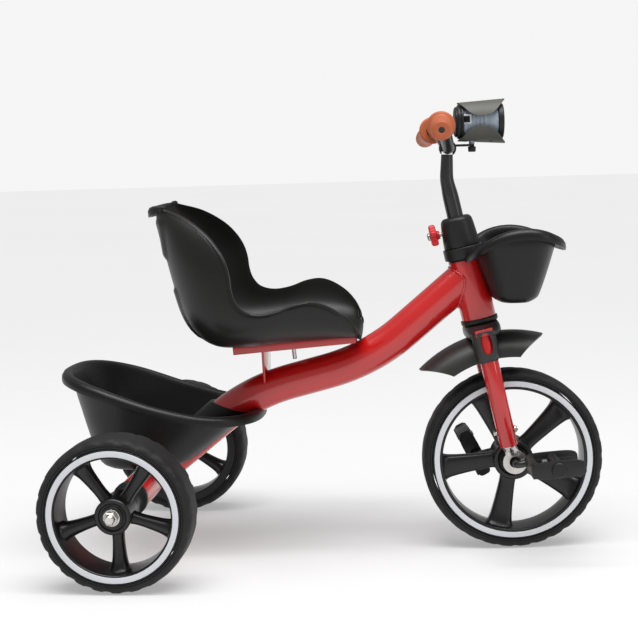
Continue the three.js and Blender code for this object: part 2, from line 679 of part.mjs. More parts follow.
function forkCover() {
  const guard = solid(sheet((t, v) => guardPoint(t, v, 0), (t, v) => guardPoint(t, v, GUARD.wall), 8, 6));
  const loops = [178, 184, 193.6].map((z, i) => superellipse(0, [24, 25, 24][i], [54, 56, 40][i], 3, 16, z));
  let cover = guard.add(solid(loft(loops)));
  for (const sign of [1, -1]) {
    const y = sign * LEG.side;
    const sleeve = [[140, 9], [145, 15], [155, 16.6], [186, 17]].map(([z, r]) => (
      superellipse(LEG.back, r, r - 1, 2.2, 12, z).map((p) => p.setY(p.y + y))));
    cover = cover.add(solid(loft(sleeve)));
  }
  const wheelRoom = rod(GUARD.crown - GUARD.wall - 30, new Vector3(0, -28, 0), new Vector3(0, 28, 0), 24);
  cover = cover.subtract(solid(wheelRoom));
  for (const sign of [1, -1]) {
    const y = sign * LEG.side;
    const leg = rod(LEG.radius + GAP, new Vector3(LEG.back, y, 100), new Vector3(LEG.back, y, LEG.top + GAP), 16);
    const window = [44, 70].map((side) => superellipse(LEG.back + 1, 7.5, 15, 2.6, 12, side));
    const opening = loft(window).rotateX(sign * Math.PI / -2).translate(0, 0, 170);
    cover = cover.subtract(solid(leg)).subtract(solid(opening));
  }
  const crownRoom = block(25, 2 * LEG.side + 27, 10, LEG.back + 1, 0, 185.5);
  const steererRoom = rod(STEERER.radius + GAP, new Vector3(0, 0, 150), new Vector3(0, 0, 210), 24);
  return cover.subtract(solid(crownRoom)).subtract(solid(steererRoom));
}

// ---- front basket, clamped round the top of the steering axis ----
const BASKET = { arch: new Vector2(12, 242), archRadius: 75, floor: 220, wall: 2.6, half: 84 };
const RING = { bottom: 287.4, top: 303, radius: 27, bore: 13.6 };

function basketLoop(z, grow) {
  const rise = (z - BASKET.floor) / 60;
  const rear = -23 - 24 * rise - grow;
  const front = 34 + 22 * rise ** 0.8 + grow;
  const half = 60 + (BASKET.half - 60) * Math.min(rise, 1.3) + grow;
  return superellipse((rear + front) / 2, (front - rear) / 2, half, 3, 18, z);
}

function frontBasket() {
  const heights = [BASKET.floor, BASKET.floor + 8, 270, 325];
  const inset = (i) => (i ? 0 : -8);
  const outer = solid(loft(heights.map((z, i) => basketLoop(z, inset(i)))));
  const inner = solid(loft(heights.map((z, i) => basketLoop(z, inset(i) - BASKET.wall)
    .map((p) => p.setZ(p.z + (i ? 0 : BASKET.wall))))));
  const arch = (r) => solid(rod(
    r, new Vector3(BASKET.arch.x, -150, BASKET.arch.y), new Vector3(BASKET.arch.x, 150, BASKET.arch.y), 28));
  const lip = solid(loft(heights.slice(1).map((z) => basketLoop(z, 8)))).intersect(arch(BASKET.archRadius))
    .subtract(arch(BASKET.archRadius - 4)).subtract(inner);
  const axisRod = (r, from, to) => solid(rod(r, new Vector3(0, 0, from), new Vector3(0, 0, to), 20)
    .rotateY(-rake));
  const notchWall = outer.intersect(axisRod(HEAD_TUBE.radius + 4.4, 150, RING.top))
    .intersect(arch(BASKET.archRadius));
  const ring = axisRod(RING.radius, RING.bottom, RING.top);
  return outer.subtract(inner).intersect(arch(BASKET.archRadius)).add(lip).add(notchWall)
    .subtract(axisRod(HEAD_TUBE.radius + 1.4, 150, RING.bottom))
    .add(ring)
    .subtract(axisRod(RING.bore, 280, 360))
    .subtract(axisRod(RING.radius + 1, RING.top, 360));
}

// ---- handlebar, its clamp and the lamp ----
const CAP = { bottom: 303.4, top: 345, clamp: 326 };

function steeringCap() {
  const body = turned([
    [STEERER.radius + GAP, CAP.bottom], [25, CAP.bottom], [22.4, CAP.top - 8], [20.6, CAP.top - 2],
    [17, CAP.top], [STEM_RADIUS + 0.4, CAP.top], [STEM_RADIUS + 0.4, STEERER.top + 1],
    [STEERER.radius + GAP, STEERER.top + 1],
  ]);
  return solid(body).subtract(clampHole());
}

function clampHole() {
  return solid(rod(3.4, new Vector3(-60, 0, CAP.clamp), new Vector3(0, 0, CAP.clamp), 12));
}

function knobGeometry() {
  const lobes = 6;
  const outline = Array.from({ length: 24 }, (_, i) => {
    const angle = (2 * Math.PI * i) / 24;
    const r = 13.2 + 2.2 * Math.cos(lobes * angle);
    return new Vector3(r * Math.cos(angle), r * Math.sin(angle), 0);
  });
  return loft([[0, 0.9], [2, 1], [7, 1], [9, 0.8]].map(([z, s]) => (
    outline.map((p) => new Vector3(p.x * s, p.y * s, z))))).rotateY(-Math.PI / 2).translate(-30, 0, CAP.clamp);
}

function stemSolid() {
  const lower = rod(STEM_RADIUS, new Vector3(0, 0, 252), new Vector3(0, 0, 388), 24);
  const upper = swept(circle(9, 12), bentPath([
    new Vector3(0, 0, 372), new Vector3(0, 0, 398), new Vector3(8, 0, 429),
  ], 50), 8);
  return solid(lower).add(solid(upper)).subtract(solid(rod(9.4, new Vector3(0, 0, 240), new Vector3(0, 0, 350), 20)));
}

// The left half of the handlebar, from its end inwards.
const BAR_CORNERS = [
  new Vector3(-5, 168, 462), new Vector3(3.6, 70, 470), new Vector3(9, 44, 458), new Vector3(11.5, 12, 439.5),
];

function barPath() {
  const other = BAR_CORNERS.map((p) => new Vector3(p.x, -p.y, p.z)).reverse();
  return bentPath([...BAR_CORNERS, ...other], 16);
}

function gripSolid(sign) {
  const { inner, outer, radius, flange } = GRIP;
  const long = outer - inner;
  const bore = BAR_RADIUS + 2 * GAP;
  const body = turned([
    [bore, 0], [flange, 0], [flange, 5], [radius, 9], [radius + 0.8, long * 0.35], [radius - 1, long * 0.6],
    [radius, long - 6], [radius - 2, long + 3], [2, long + 3], [2, long - 1], [bore, long - 1],
  ], 16);
  const [end, bend] = BAR_CORNERS;
  const start = end.clone().lerp(bend, (end.y - inner) / (end.y - bend.y));
  const aim = end.clone().sub(bend).normalize();
  for (const vector of [start, aim]) vector.y *= sign;
  const turn = new THREE.Quaternion().setFromUnitVectors(new Vector3(0, 0, 1), aim);
  return body.applyQuaternion(turn).translate(start.x, start.y, start.z);
}

// Lamp sizes in the level group: x from the front axle, z above it.
const LAMP = { rear: -71, front: -4, height: 467, radius: 21, screwX: -47 };

function lampAcross(points, sides = 20) {
  return turned(points, sides).rotateY(Math.PI / 2).translate(LAMP.rear, 0, LAMP.height);
}

function lampVisor(sign) {
  const at = (radius) => (t, v) => {
    const side = 2 * v - 1;
    const reach = Math.cos(side * Math.PI / 2);
    const angle = radians(90 + side * 72);
    const x = THREE.MathUtils.lerp(-62, -4, t) + (t - 0.5) * -34 * (1 - reach);
    const r = radius + 4 * t;
    return new Vector3(x, r * Math.cos(angle), LAMP.height + sign * r * Math.sin(angle));
  };
  return sheet(at(27), at(25.4), 4, 10);
}

function addLamp() {
  const body = lampAcross([[0, 12.4], [19, 12.4], [19, 18], [17.5, 30], [18.5, 48], [21, 59], [0, 59]]);
  const housing = lampAcross([[0, 0], [20, 0], [23, 3], [23, 12], [0, 12]]);
  const bezel = lampAcross([[19.3, 59.4], [24, 59.4], [24, 66], [22, 67], [19.3, 67]]);
  const lens = lampAcross([[0, 59.4], [18.9, 59.4], [18.9, 64], [12, 66], [0, 66.6]]);
  const pocket = block(9, 8, 9, -55, -19.5, LAMP.height + 3);
  const button = block(7, 4.6, 7, -55, -20.6, LAMP.height + 3);
  const foot = rod(4, new Vector3(LAMP.screwX, 0, LAMP.height - 30), new Vector3(LAMP.screwX, 0, LAMP.height - 14), 12);
  const thumb = turned([[0, 426], [5, 426], [5.5, 433.2], [3.4, 433.2], [3.4, 452], [0, 452]], 12)
    .translate(LAMP.screwX, 0, 0);
  const screwRoom = rod(3.8, new Vector3(LAMP.screwX, 0, 400), new Vector3(LAMP.screwX, 0, 453), 12);
  const footed = solid(body).add(solid(foot)).subtract(solid(screwRoom)).subtract(solid(pocket));
  const lowerVisor = solid(lampVisor(-1))
    .subtract(solid(rod(8, new Vector3(LAMP.screwX, 0, 400), new Vector3(LAMP.screwX, 0, 460), 12)));
  level.add(
    piece('lamp_body', footed, FINISH.lampGrey),
    piece('lamp_housing', housing, FINISH.black),
    piece('lamp_bezel', bezel, FINISH.black),
    piece('lamp_lens', lens, FINISH.lens),
    piece('lamp_visor_upper', lampVisor(1), FINISH.visor),
    piece('lamp_visor_lower', lowerVisor, FINISH.visor),
    piece('lamp_switch', button, FINISH.black),
    piece('lamp_screw', thumb, FINISH.black),
  );
  const arm = block(30, 14, 3, -60, 0, 435.2);
  const clampRing = rod(11.8, new Vector3(11, -5, 439), new Vector3(11, 5, 439), 20).rotateY(-rake);
  const barRoom = solid(swept(circle(BAR_RADIUS + GAP, 12), barPath(), 26)).add(stemRoom());
  const tilt = new THREE.Matrix4().makeRotationY(-rake);
  const room = new THREE.BufferGeometry().copy(surface(barRoom)).applyMatrix4(tilt);
  const bracket = solid(arm).add(solid(clampRing)).subtract(solid(room)).subtract(solid(screwRoom));
  level.add(piece('lamp_bracket', bracket, FINISH.black));
}

function stemRoom() {
  return solid(swept(circle(9 + GAP, 12), bentPath([
    new Vector3(0, 0, 372), new Vector3(0, 0, 398), new Vector3(9.5, 0, 435),
  ], 50), 8));
}

function addHandlebar() {
  const bar = solid(swept(circle(BAR_RADIUS, 12), barPath(), 26)).subtract(stemRoom());
  steering.add(
    piece('stem', stemSolid(), FINISH.blackSteel),
    piece('handlebar_tube', bar, FINISH.blackSteel),
    piece('grip_left', gripSolid(1), FINISH.grip),
    piece('grip_right', gripSolid(-1), FINISH.grip),
    piece('steering_cap', steeringCap(), FINISH.black),
    piece('clamp_knob', knobGeometry(), FINISH.red),
    piece('clamp_screw', rod(3, new Vector3(-29.6, 0, CAP.clamp), new Vector3(-11.5, 0, CAP.clamp), 12), FINISH.zinc),
  );
}

function addFork() {
  const steerer = solid(turned([
    [STEERER.inner, STEERER.bottom], [STEERER.radius, STEERER.bottom],
    [STEERER.radius, STEERER.top], [STEERER.inner, STEERER.top],
  ])).subtract(clampHole());
  steering.add(piece('steerer', steerer, FINISH.zinc), piece('fork_crown', forkCrown(), FINISH.red));
  for (const [side, sign] of [['left', 1], ['right', -1]]) {
    steering.add(
      piece(`fork_leg_${side}`, forkLeg(sign), FINISH.red),
      piece(`fork_tip_${side}`, forkTip(sign), FINISH.zinc),
      piece(`fork_bolt_${side}`, forkBolt(sign), FINISH.zinc),
      piece(`pedal_${side}`, pedal(sign, PEDAL.tilt[side]), FINISH.black),
    );
  }
  steering.add(piece('fork_cover', forkCover(), FINISH.black));
  level.add(piece('front_basket', frontBasket(), FINISH.black));
}

addFrame();
addSeat();
tricycle.add(piece('rear_basket', rearBasket(), FINISH.black));
addRearAxle();
addRearWheels();
addFrontWheel();
addFork();
addHandlebar();
addLamp();

export default tricycle;
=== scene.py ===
"""A children's tricycle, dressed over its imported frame.

Sizes in the code are millimetres unless they say otherwise.
"""

import math

import bpy
from bpy.props import FloatProperty, FloatVectorProperty, IntProperty, PointerProperty
from bpy.types import Operator, Panel
from mathutils import Matrix, Vector


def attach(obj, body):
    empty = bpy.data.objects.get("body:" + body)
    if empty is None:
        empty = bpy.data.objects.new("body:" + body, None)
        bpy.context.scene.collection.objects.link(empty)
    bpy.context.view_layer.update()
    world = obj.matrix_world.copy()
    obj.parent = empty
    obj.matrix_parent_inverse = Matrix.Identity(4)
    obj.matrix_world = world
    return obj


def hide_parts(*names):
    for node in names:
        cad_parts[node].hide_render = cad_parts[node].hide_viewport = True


bl_info = {
    "name": "Children's Tricycle",
    "version": (1, 0, 0),
    "blender": (4, 5, 0),
    "location": "View3D > Sidebar > Tricycle",
    "description": "Builds the visible pieces of a children's tricycle round its frame",
    "category": "Add Mesh",
}

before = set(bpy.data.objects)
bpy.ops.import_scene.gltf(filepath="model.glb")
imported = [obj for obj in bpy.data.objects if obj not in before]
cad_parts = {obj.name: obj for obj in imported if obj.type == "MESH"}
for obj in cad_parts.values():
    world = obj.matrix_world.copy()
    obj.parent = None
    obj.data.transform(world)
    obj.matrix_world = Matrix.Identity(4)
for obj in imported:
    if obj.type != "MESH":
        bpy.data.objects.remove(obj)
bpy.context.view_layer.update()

# ---- places: each turns a group's own millimetres into the tricycle's metres ----
MM = Matrix.Scale(0.001, 4)


def turn(degrees, axis):
    return Matrix.Rotation(math.radians(degrees), 4, axis)


FRONT_AXLE_HEIGHT = 125
HEAD_LEAN = 12  # degrees the steering axis leans back
STEERED = 5.4  # degrees the steering stands turned to the left
SEAT_PITCH = 4.7  # degrees the seat's nose is tipped up
REAR_AXLE = Vector((-512.5, 0, 102.2))
REAR_TRACK = 215.1  # from the middle to a rear wheel's centre
SIDES = (("left", 1), ("right", -1))

WORLD = MM
STEERING = (
    Matrix.Translation((0, 0, FRONT_AXLE_HEIGHT / 1000)) @ turn(-HEAD_LEAN, "Y") @ turn(STEERED, "Z") @ MM
)
LEVEL = STEERING @ turn(HEAD_LEAN, "Y")
SEAT = Matrix.Translation((-0.198, 0, 0.3065)) @ turn(-SEAT_PITCH, "Y") @ MM


def rear_wheel_place(sign):
    return Matrix.Translation((-0.5125, sign * REAR_TRACK / 1000, 0.1022)) @ MM


# ---- modelling helpers ----
def deselect():
    if bpy.context.mode != "OBJECT":
        bpy.ops.object.mode_set(mode="OBJECT")
    bpy.context.tool_settings.mesh_select_mode = (True, False, False)
    bpy.ops.object.select_all(action="DESELECT")


def only(obj):
    deselect()
    obj.select_set(True)
    bpy.context.view_layer.objects.active = obj


def weld(obj, distance=0.002, turn_out=True):
    """Merges doubled corners and turns the faces outwards."""
    only(obj)
    bpy.ops.object.mode_set(mode="EDIT")
    bpy.ops.mesh.select_all(action="SELECT")
    bpy.ops.mesh.remove_doubles(threshold=distance)
    bpy.ops.mesh.dissolve_degenerate(threshold=distance)
    if turn_out:
        bpy.ops.mesh.select_all(action="SELECT")
        bpy.ops.mesh.normals_make_consistent(inside=False)
    bpy.ops.object.mode_set(mode="OBJECT")
    return obj


def modify(obj, kind, **settings):
    only(obj)
    modifier = obj.modifiers.new(kind, kind)
    for key, value in settings.items():
        setattr(modifier, key, value)
    bpy.ops.object.modifier_apply(modifier=modifier.name)
    return obj


def bevel(obj, width, segments=2, angle=35):
    return modify(
        obj, "BEVEL", width=width, segments=segments, limit_method="ANGLE",
        angle_limit=math.radians(angle), harden_normals=False,
    )


def cut(obj, cutter, operation="DIFFERENCE"):
    modify(obj, "BOOLEAN", object=cutter, operation=operation, solver="EXACT")
    bpy.data.objects.remove(cutter)
    return obj


def join(objects):
    deselect()
    for obj in objects:
        obj.select_set(True)
    bpy.context.view_layer.objects.active = objects[0]
    bpy.ops.object.join()
    return objects[0]


def copy_of(obj):
    deselect()
    twin = obj.copy()
    twin.data = obj.data.copy()
    bpy.context.scene.collection.objects.link(twin)
    return twin


def placed(obj, matrix):
    obj.data.transform(matrix)
    if matrix.determinant() < 0:
        obj.data.flip_normals()
    return obj


def shift(obj, x=0, y=0, z=0):
    return placed(obj, Matrix.Translation((x, y, z)))


def eased(points, radius, steps=3, closed=False):
    """The outline with its corners rounded."""
    made = []
    count = len(points)
    for i, corner in enumerate(points):
        if not closed and i in (0, count - 1):
            made.append(tuple(corner))
            continue
        corner = Vector(corner)
        back = Vector(points[i - 1]) - corner
        ahead = Vector(points[(i + 1) % count]) - corner
        if back.length < 1e-6 or ahead.length < 1e-6 or back.angle(ahead) > math.radians(172):
            made.append(tuple(corner))
            continue
        reach = min(radius, back.length * 0.45, ahead.length * 0.45)
        start = corner + back.normalized() * reach
        end = corner + ahead.normalized() * reach
        for k in range(steps + 1):
            t = k / steps
            made.append(tuple(start * (1 - t) ** 2 + corner * 2 * t * (1 - t) + end * t ** 2))
    return made


def spun(profile, steps=64, axis="Z", ease=0.0, closed=True):
    """A body of revolution about an axis from (radius, height) corners."""
    if ease:
        profile = eased(profile, ease, closed=closed)
    if closed:
        profile = [*profile, profile[0]]
    deselect()
    bpy.ops.mesh.primitive_plane_add(size=1, enter_editmode=True)
    bpy.ops.mesh.merge(type="CENTER")
    bpy.ops.transform.translate(value=(profile[0][0], 0, profile[0][1]))
    for (a, b), (c, d) in zip(profile, profile[1:]):
        bpy.ops.mesh.extrude_region_move(TRANSFORM_OT_translate={"value": (c - a, 0, d - b)})
    bpy.ops.mesh.select_all(action="SELECT")
    bpy.ops.mesh.spin(steps=steps, angle=2 * math.pi, center=(0, 0, 0), axis=(0, 0, 1))
    bpy.ops.object.mode_set(mode="OBJECT")
    obj = weld(bpy.context.object)
    if axis == "Y":
        placed(obj, turn(-90, "X"))
    if axis == "X":
        placed(obj, turn(90, "Y"))
    return obj


def swept(points, radius, sides=32, radii=None):
    """A round bar along a line of points, thicker or thinner where radii say so."""
    deselect()
    bpy.ops.curve.primitive_nurbs_path_add()
    curve = bpy.context.object
    data = curve.data
    data.splines.clear()
    line = data.splines.new("POLY")
    line.points.add(len(points) - 1)
    for i, (knot, point) in enumerate(zip(line.points, points)):
        knot.co = (*point, 1)
        knot.radius = radii[i] if radii else 1
    data.dimensions = "3D"
    data.twist_mode = "MINIMUM"
    data.bevel_depth = radius
    data.bevel_resolution = max((sides - 4) // 2, 0)
    data.use_fill_caps = True
    only(curve)
    bpy.ops.object.convert(target="MESH")
    return weld(bpy.context.object)


def bar(radius, start, end, sides=48):
    return swept([start, end], radius, sides)


def block(size, centre, soft=0.0, segments=2):
    deselect()
    bpy.ops.mesh.primitive_cube_add(size=1)
    obj = placed(bpy.context.object, Matrix.Translation(centre) @ Matrix.Diagonal((*size, 1)))
    if soft:
        bevel(obj, soft, segments)
    return obj


def moulded(rows, columns, place):
    """A fine sheet whose point (u, v), each from 0 to 1, is put where place says."""
    deselect()
    bpy.ops.mesh.primitive_grid_add(x_subdivisions=rows, y_subdivisions=columns, size=2)
    obj = bpy.context.object
    for vertex in obj.data.vertices:
        vertex.co = place((vertex.co.x + 1) / 2, (vertex.co.y + 1) / 2)
    return weld(obj)


def slab(outline, depth, soft=0.0, segments=2):
    """A flat outline of (x, z) corners given depth along Y, centred on it."""
    deselect()
    bpy.ops.mesh.primitive_plane_add(size=1, enter_editmode=True)
    bpy.ops.mesh.merge(type="CENTER")
    x, z = outline[0]
    bpy.ops.transform.translate(value=(x, -depth / 2, z))
    for (a, b), (c, d) in zip(outline, outline[1:]):
        bpy.ops.mesh.extrude_region_move(TRANSFORM_OT_translate={"value": (c - a, 0, d - b)})
    bpy.ops.mesh.select_all(action="SELECT")
    bpy.ops.mesh.edge_face_add()
    bpy.ops.mesh.extrude_region_move(TRANSFORM_OT_translate={"value": (0, depth, 0)})
    bpy.ops.object.mode_set(mode="OBJECT")
    obj = weld(bpy.context.object)
    if soft:
        bevel(obj, soft, segments)
    return obj


def mix(a, b, t):
    return a + (b - a) * t


def ramp(stations, t):
    """A smooth value between stations of (t, value)."""
    if t <= stations[0][0]:
        return stations[0][1]
    for i in range(1, len(stations)):
        if t <= stations[i][0] or i == len(stations) - 1:
            break
    (t1, p1), (t2, p2) = stations[i - 1], stations[i]
    p0 = stations[i - 2] if i > 1 else None
    p3 = stations[i + 1] if i + 1 < len(stations) else None
    span = t2 - t1
    s = min(max((t - t1) / span, 0), 1)
    slope1 = (p2 - p0[1]) / (t2 - p0[0]) if p0 else (p2 - p1) / span
    slope2 = (p3[1] - p1) / (p3[0] - t1) if p3 else (p2 - p1) / span
    return (
        p1 * (2 * s ** 3 - 3 * s ** 2 + 1) + span * slope1 * (s ** 3 - 2 * s ** 2 + s)
        + p2 * (3 * s ** 2 - 2 * s ** 3) + span * slope2 * (s ** 3 - s ** 2)
    )


def bent_line(points, radius, step=4.0):
    """Straight runs between the points, with rounded corners, cut into short steps."""
    line = [Vector(points[0])]
    for i in range(1, len(points) - 1):
        corner = Vector(points[i])
        back = (Vector(points[i - 1]) - corner).normalized()
        ahead = (Vector(points[i + 1]) - corner).normalized()
        reach = radius / math.tan(back.angle(ahead) / 2)
        start, end = corner + back * reach, corner + ahead * reach
        line.append(start)
        for k in range(1, 13):
            t = k / 12
            line.append(start * (1 - t) ** 2 + corner * 2 * t * (1 - t) + end * t ** 2)
    line.append(Vector(points[-1]))
    made = [line[0]]
    for a, b in zip(line, line[1:]):
        count = max(int((b - a).length / step), 1)
        made += [a.lerp(b, k / count) for k in range(1, count + 1)]
    return made


def rounded_loop(centre_x, half_x, half_y, power, angle):
    """A point of a rounded rectangle, as (x, y), at an angle in radians."""
    c, s = math.cos(angle), math.sin(angle)
    x = centre_x + half_x * math.copysign(abs(c) ** (2 / power), c)
    y = half_y * math.copysign(abs(s) ** (2 / power), s)
    return x, y


def settle(obj, name, place, finish, body, nodes=(), angle=40):
    """Puts a finished piece on the tricycle, hangs it under the body it rides on and hides the frame's pieces
    that it stands for.
    """
    placed(obj, place)
    obj.name = name
    obj.data.name = name
    obj.matrix_world = Matrix.Identity(4)
    only(obj)
    bpy.ops.object.shade_smooth_by_angle(angle=math.radians(angle))
    obj.data.materials.clear()
    obj.data.materials.append(material(finish))
    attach(obj, body)
    if nodes:
        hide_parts(*nodes)
    return obj


# ---- finishes ----
def linear(red, green, blue):
    return tuple(
        c / 255 / 12.92 if c / 255 <= 0.04045 else (
            (c / 255 + 0.055) / 1.055
        ) ** 2.4 for c in (red, green, blue)
    )


def new_group(name, inputs, outputs):
    tree = bpy.data.node_groups.new(name, "ShaderNodeTree")
    for socket, kind, default in inputs:
        made = tree.interface.new_socket(socket, in_out="INPUT", socket_type=kind)
        if default is not None:
            made.default_value = default
    for socket, kind in outputs:
        tree.interface.new_socket(socket, in_out="OUTPUT", socket_type=kind)
    return tree, tree.nodes.new("NodeGroupInput"), tree.nodes.new("NodeGroupOutput")


def noise_node(tree, scale, detail, vector=None):
    node = tree.nodes.new("ShaderNodeTexNoise")
    node.inputs["Scale"].default_value = scale
    node.inputs["Detail"].default_value = detail
    if vector is not None:
        tree.links.new(vector, node.inputs["Vector"])
    return node


def spread(tree, value, low, high, to_low=0.0, to_high=1.0):
    node = tree.nodes.new("ShaderNodeMapRange")
    node.inputs["From Min"].default_value = low
    node.inputs["From Max"].default_value = high
    for socket, wanted in (("To Min", to_low), ("To Max", to_high)):
        if isinstance(wanted, bpy.types.NodeSocket):
            tree.links.new(wanted, node.inputs[socket])
        else:
            node.inputs[socket].default_value = wanted
    tree.links.new(value, node.inputs["Value"])
    return node.outputs["Result"]


def grain_group():
    """Fine moulded grain: a height that pits and swells at two scales."""
    tree, start, end = new_group("Moulded grain", [
        ("Vector", "NodeSocketVector", None), ("Scale", "NodeSocketFloat", 900.0),
        ("Swell", "NodeSocketFloat", 0.25),
    ], [("Height", "NodeSocketFloat")])
    fine = noise_node(tree, 900, 2, start.outputs["Vector"])
    tree.links.new(start.outputs["Scale"], fine.inputs["Scale"])
    broad = noise_node(tree, 24, 1, start.outputs["Vector"])
    blend = tree.nodes.new("ShaderNodeMix")
    tree.links.new(start.outputs["Swell"], blend.inputs["Factor"])
    tree.links.new(fine.outputs["Fac"], blend.inputs["A"])
    tree.links.new(broad.outputs["Fac"], blend.inputs["B"])
    tree.links.new(blend.outputs["Result"], end.inputs["Height"])
    return tree


def drift_group():
    """A number that wanders between two values over the surface, as gloss does on a handled piece."""
    tree, start, end = new_group("Gloss drift", [
        ("Vector", "NodeSocketVector", None), ("Scale", "NodeSocketFloat", 14.0),
        ("Low", "NodeSocketFloat", 0.3), ("High", "NodeSocketFloat", 0.4),
    ], [("Value", "NodeSocketFloat")])
    wander = noise_node(tree, 14, 4, start.outputs["Vector"])
    tree.links.new(start.outputs["Scale"], wander.inputs["Scale"])
    value = spread(tree, wander.outputs["Fac"], 0.3, 0.7, start.outputs["Low"], start.outputs["High"])
    tree.links.new(value, end.inputs["Value"])
    return tree


def tone_group():
    """Two close colours that drift into each other, with fine specks of dust."""
    tree, start, end = new_group("Colour tone", [
        ("Vector", "NodeSocketVector", None), ("Deep", "NodeSocketColor", (0, 0, 0, 1)),
        ("Light", "NodeSocketColor", (1, 1, 1, 1)), ("Scale", "NodeSocketFloat", 10.0),
        ("Dust", "NodeSocketFloat", 0.0),
    ], [("Color", "NodeSocketColor")])
    wander = noise_node(tree, 10, 3, start.outputs["Vector"])
    tree.links.new(start.outputs["Scale"], wander.inputs["Scale"])
    blend = tree.nodes.new("ShaderNodeMix")
    blend.data_type = "RGBA"
    tree.links.new(spread(tree, wander.outputs["Fac"], 0.35, 0.65), blend.inputs[0])
    tree.links.new(start.outputs["Deep"], blend.inputs[6])
    tree.links.new(start.outputs["Light"], blend.inputs[7])
    speck = noise_node(tree, 420, 2, start.outputs["Vector"])
    spots = tree.nodes.new("ShaderNodeMath")
    spots.operation = "MULTIPLY"
    tree.links.new(spread(tree, speck.outputs["Fac"], 0.66, 0.76), spots.inputs[0])
    tree.links.new(start.outputs["Dust"], spots.inputs[1])
    dusty = tree.nodes.new("ShaderNodeMix")
    dusty.data_type = "RGBA"
    dusty.inputs[7].default_value = (0.35, 0.33, 0.30, 1)
    tree.links.new(spots.outputs[0], dusty.inputs[0])
    tree.links.new(blend.outputs[2], dusty.inputs[6])
    tree.links.new(dusty.outputs[2], end.inputs["Color"])
    return tree


def shared(name):
    makers = {"Moulded grain": grain_group, "Gloss drift": drift_group, "Colour tone": tone_group}
    return bpy.data.node_groups.get(name) or makers[name]()


def use_group(tree, name, vector, **values):
    node = tree.nodes.new("ShaderNodeGroup")
    node.node_tree = shared(name)
    tree.links.new(vector, node.inputs["Vector"])
    for socket, value in values.items():
        node.inputs[socket].default_value = value
    return node


class Finish:
    """A material under construction: its tree, its shader and its object coordinates."""

    def __init__(self, name, **sockets):
        self.material = bpy.data.materials.new(name)
        self.material.use_nodes = True
        self.tree = self.material.node_tree
        self.shader = self.tree.nodes["Principled BSDF"]
        self.vector = self.tree.nodes.new("ShaderNodeTexCoord").outputs["Object"]
        for socket, value in sockets.items():
            self.shader.inputs[socket.replace("_", " ")].default_value = value

    def tone(self, colour, lift=1.25, scale=10.0, dust=0.0):
        deep = (*[c / math.sqrt(lift) for c in colour], 1)
        light = (*[c * math.sqrt(lift) for c in colour], 1)
        node = use_group(
            self.tree, "Colour tone", self.vector, Deep=deep, Light=light, Scale=scale, Dust=dust,
        )
        self.tree.links.new(node.outputs["Color"], self.shader.inputs["Base Color"])
        return node

    def gloss(self, low, high, scale=14.0):
        node = use_group(self.tree, "Gloss drift", self.vector, Low=low, High=high, Scale=scale)
        self.tree.links.new(node.outputs["Value"], self.shader.inputs["Roughness"])

    def grain(self, scale, strength, distance=0.0004, swell=0.25):
        node = use_group(self.tree, "Moulded grain", self.vector, Scale=scale, Swell=swell)
        bump = self.tree.nodes.new("ShaderNodeBump")
        bump.inputs["Strength"].default_value = strength
        bump.inputs["Distance"].default_value = distance
        self.tree.links.new(node.outputs["Height"], bump.inputs["Height"])
        self.tree.links.new(bump.outputs["Normal"], self.shader.inputs["Normal"])


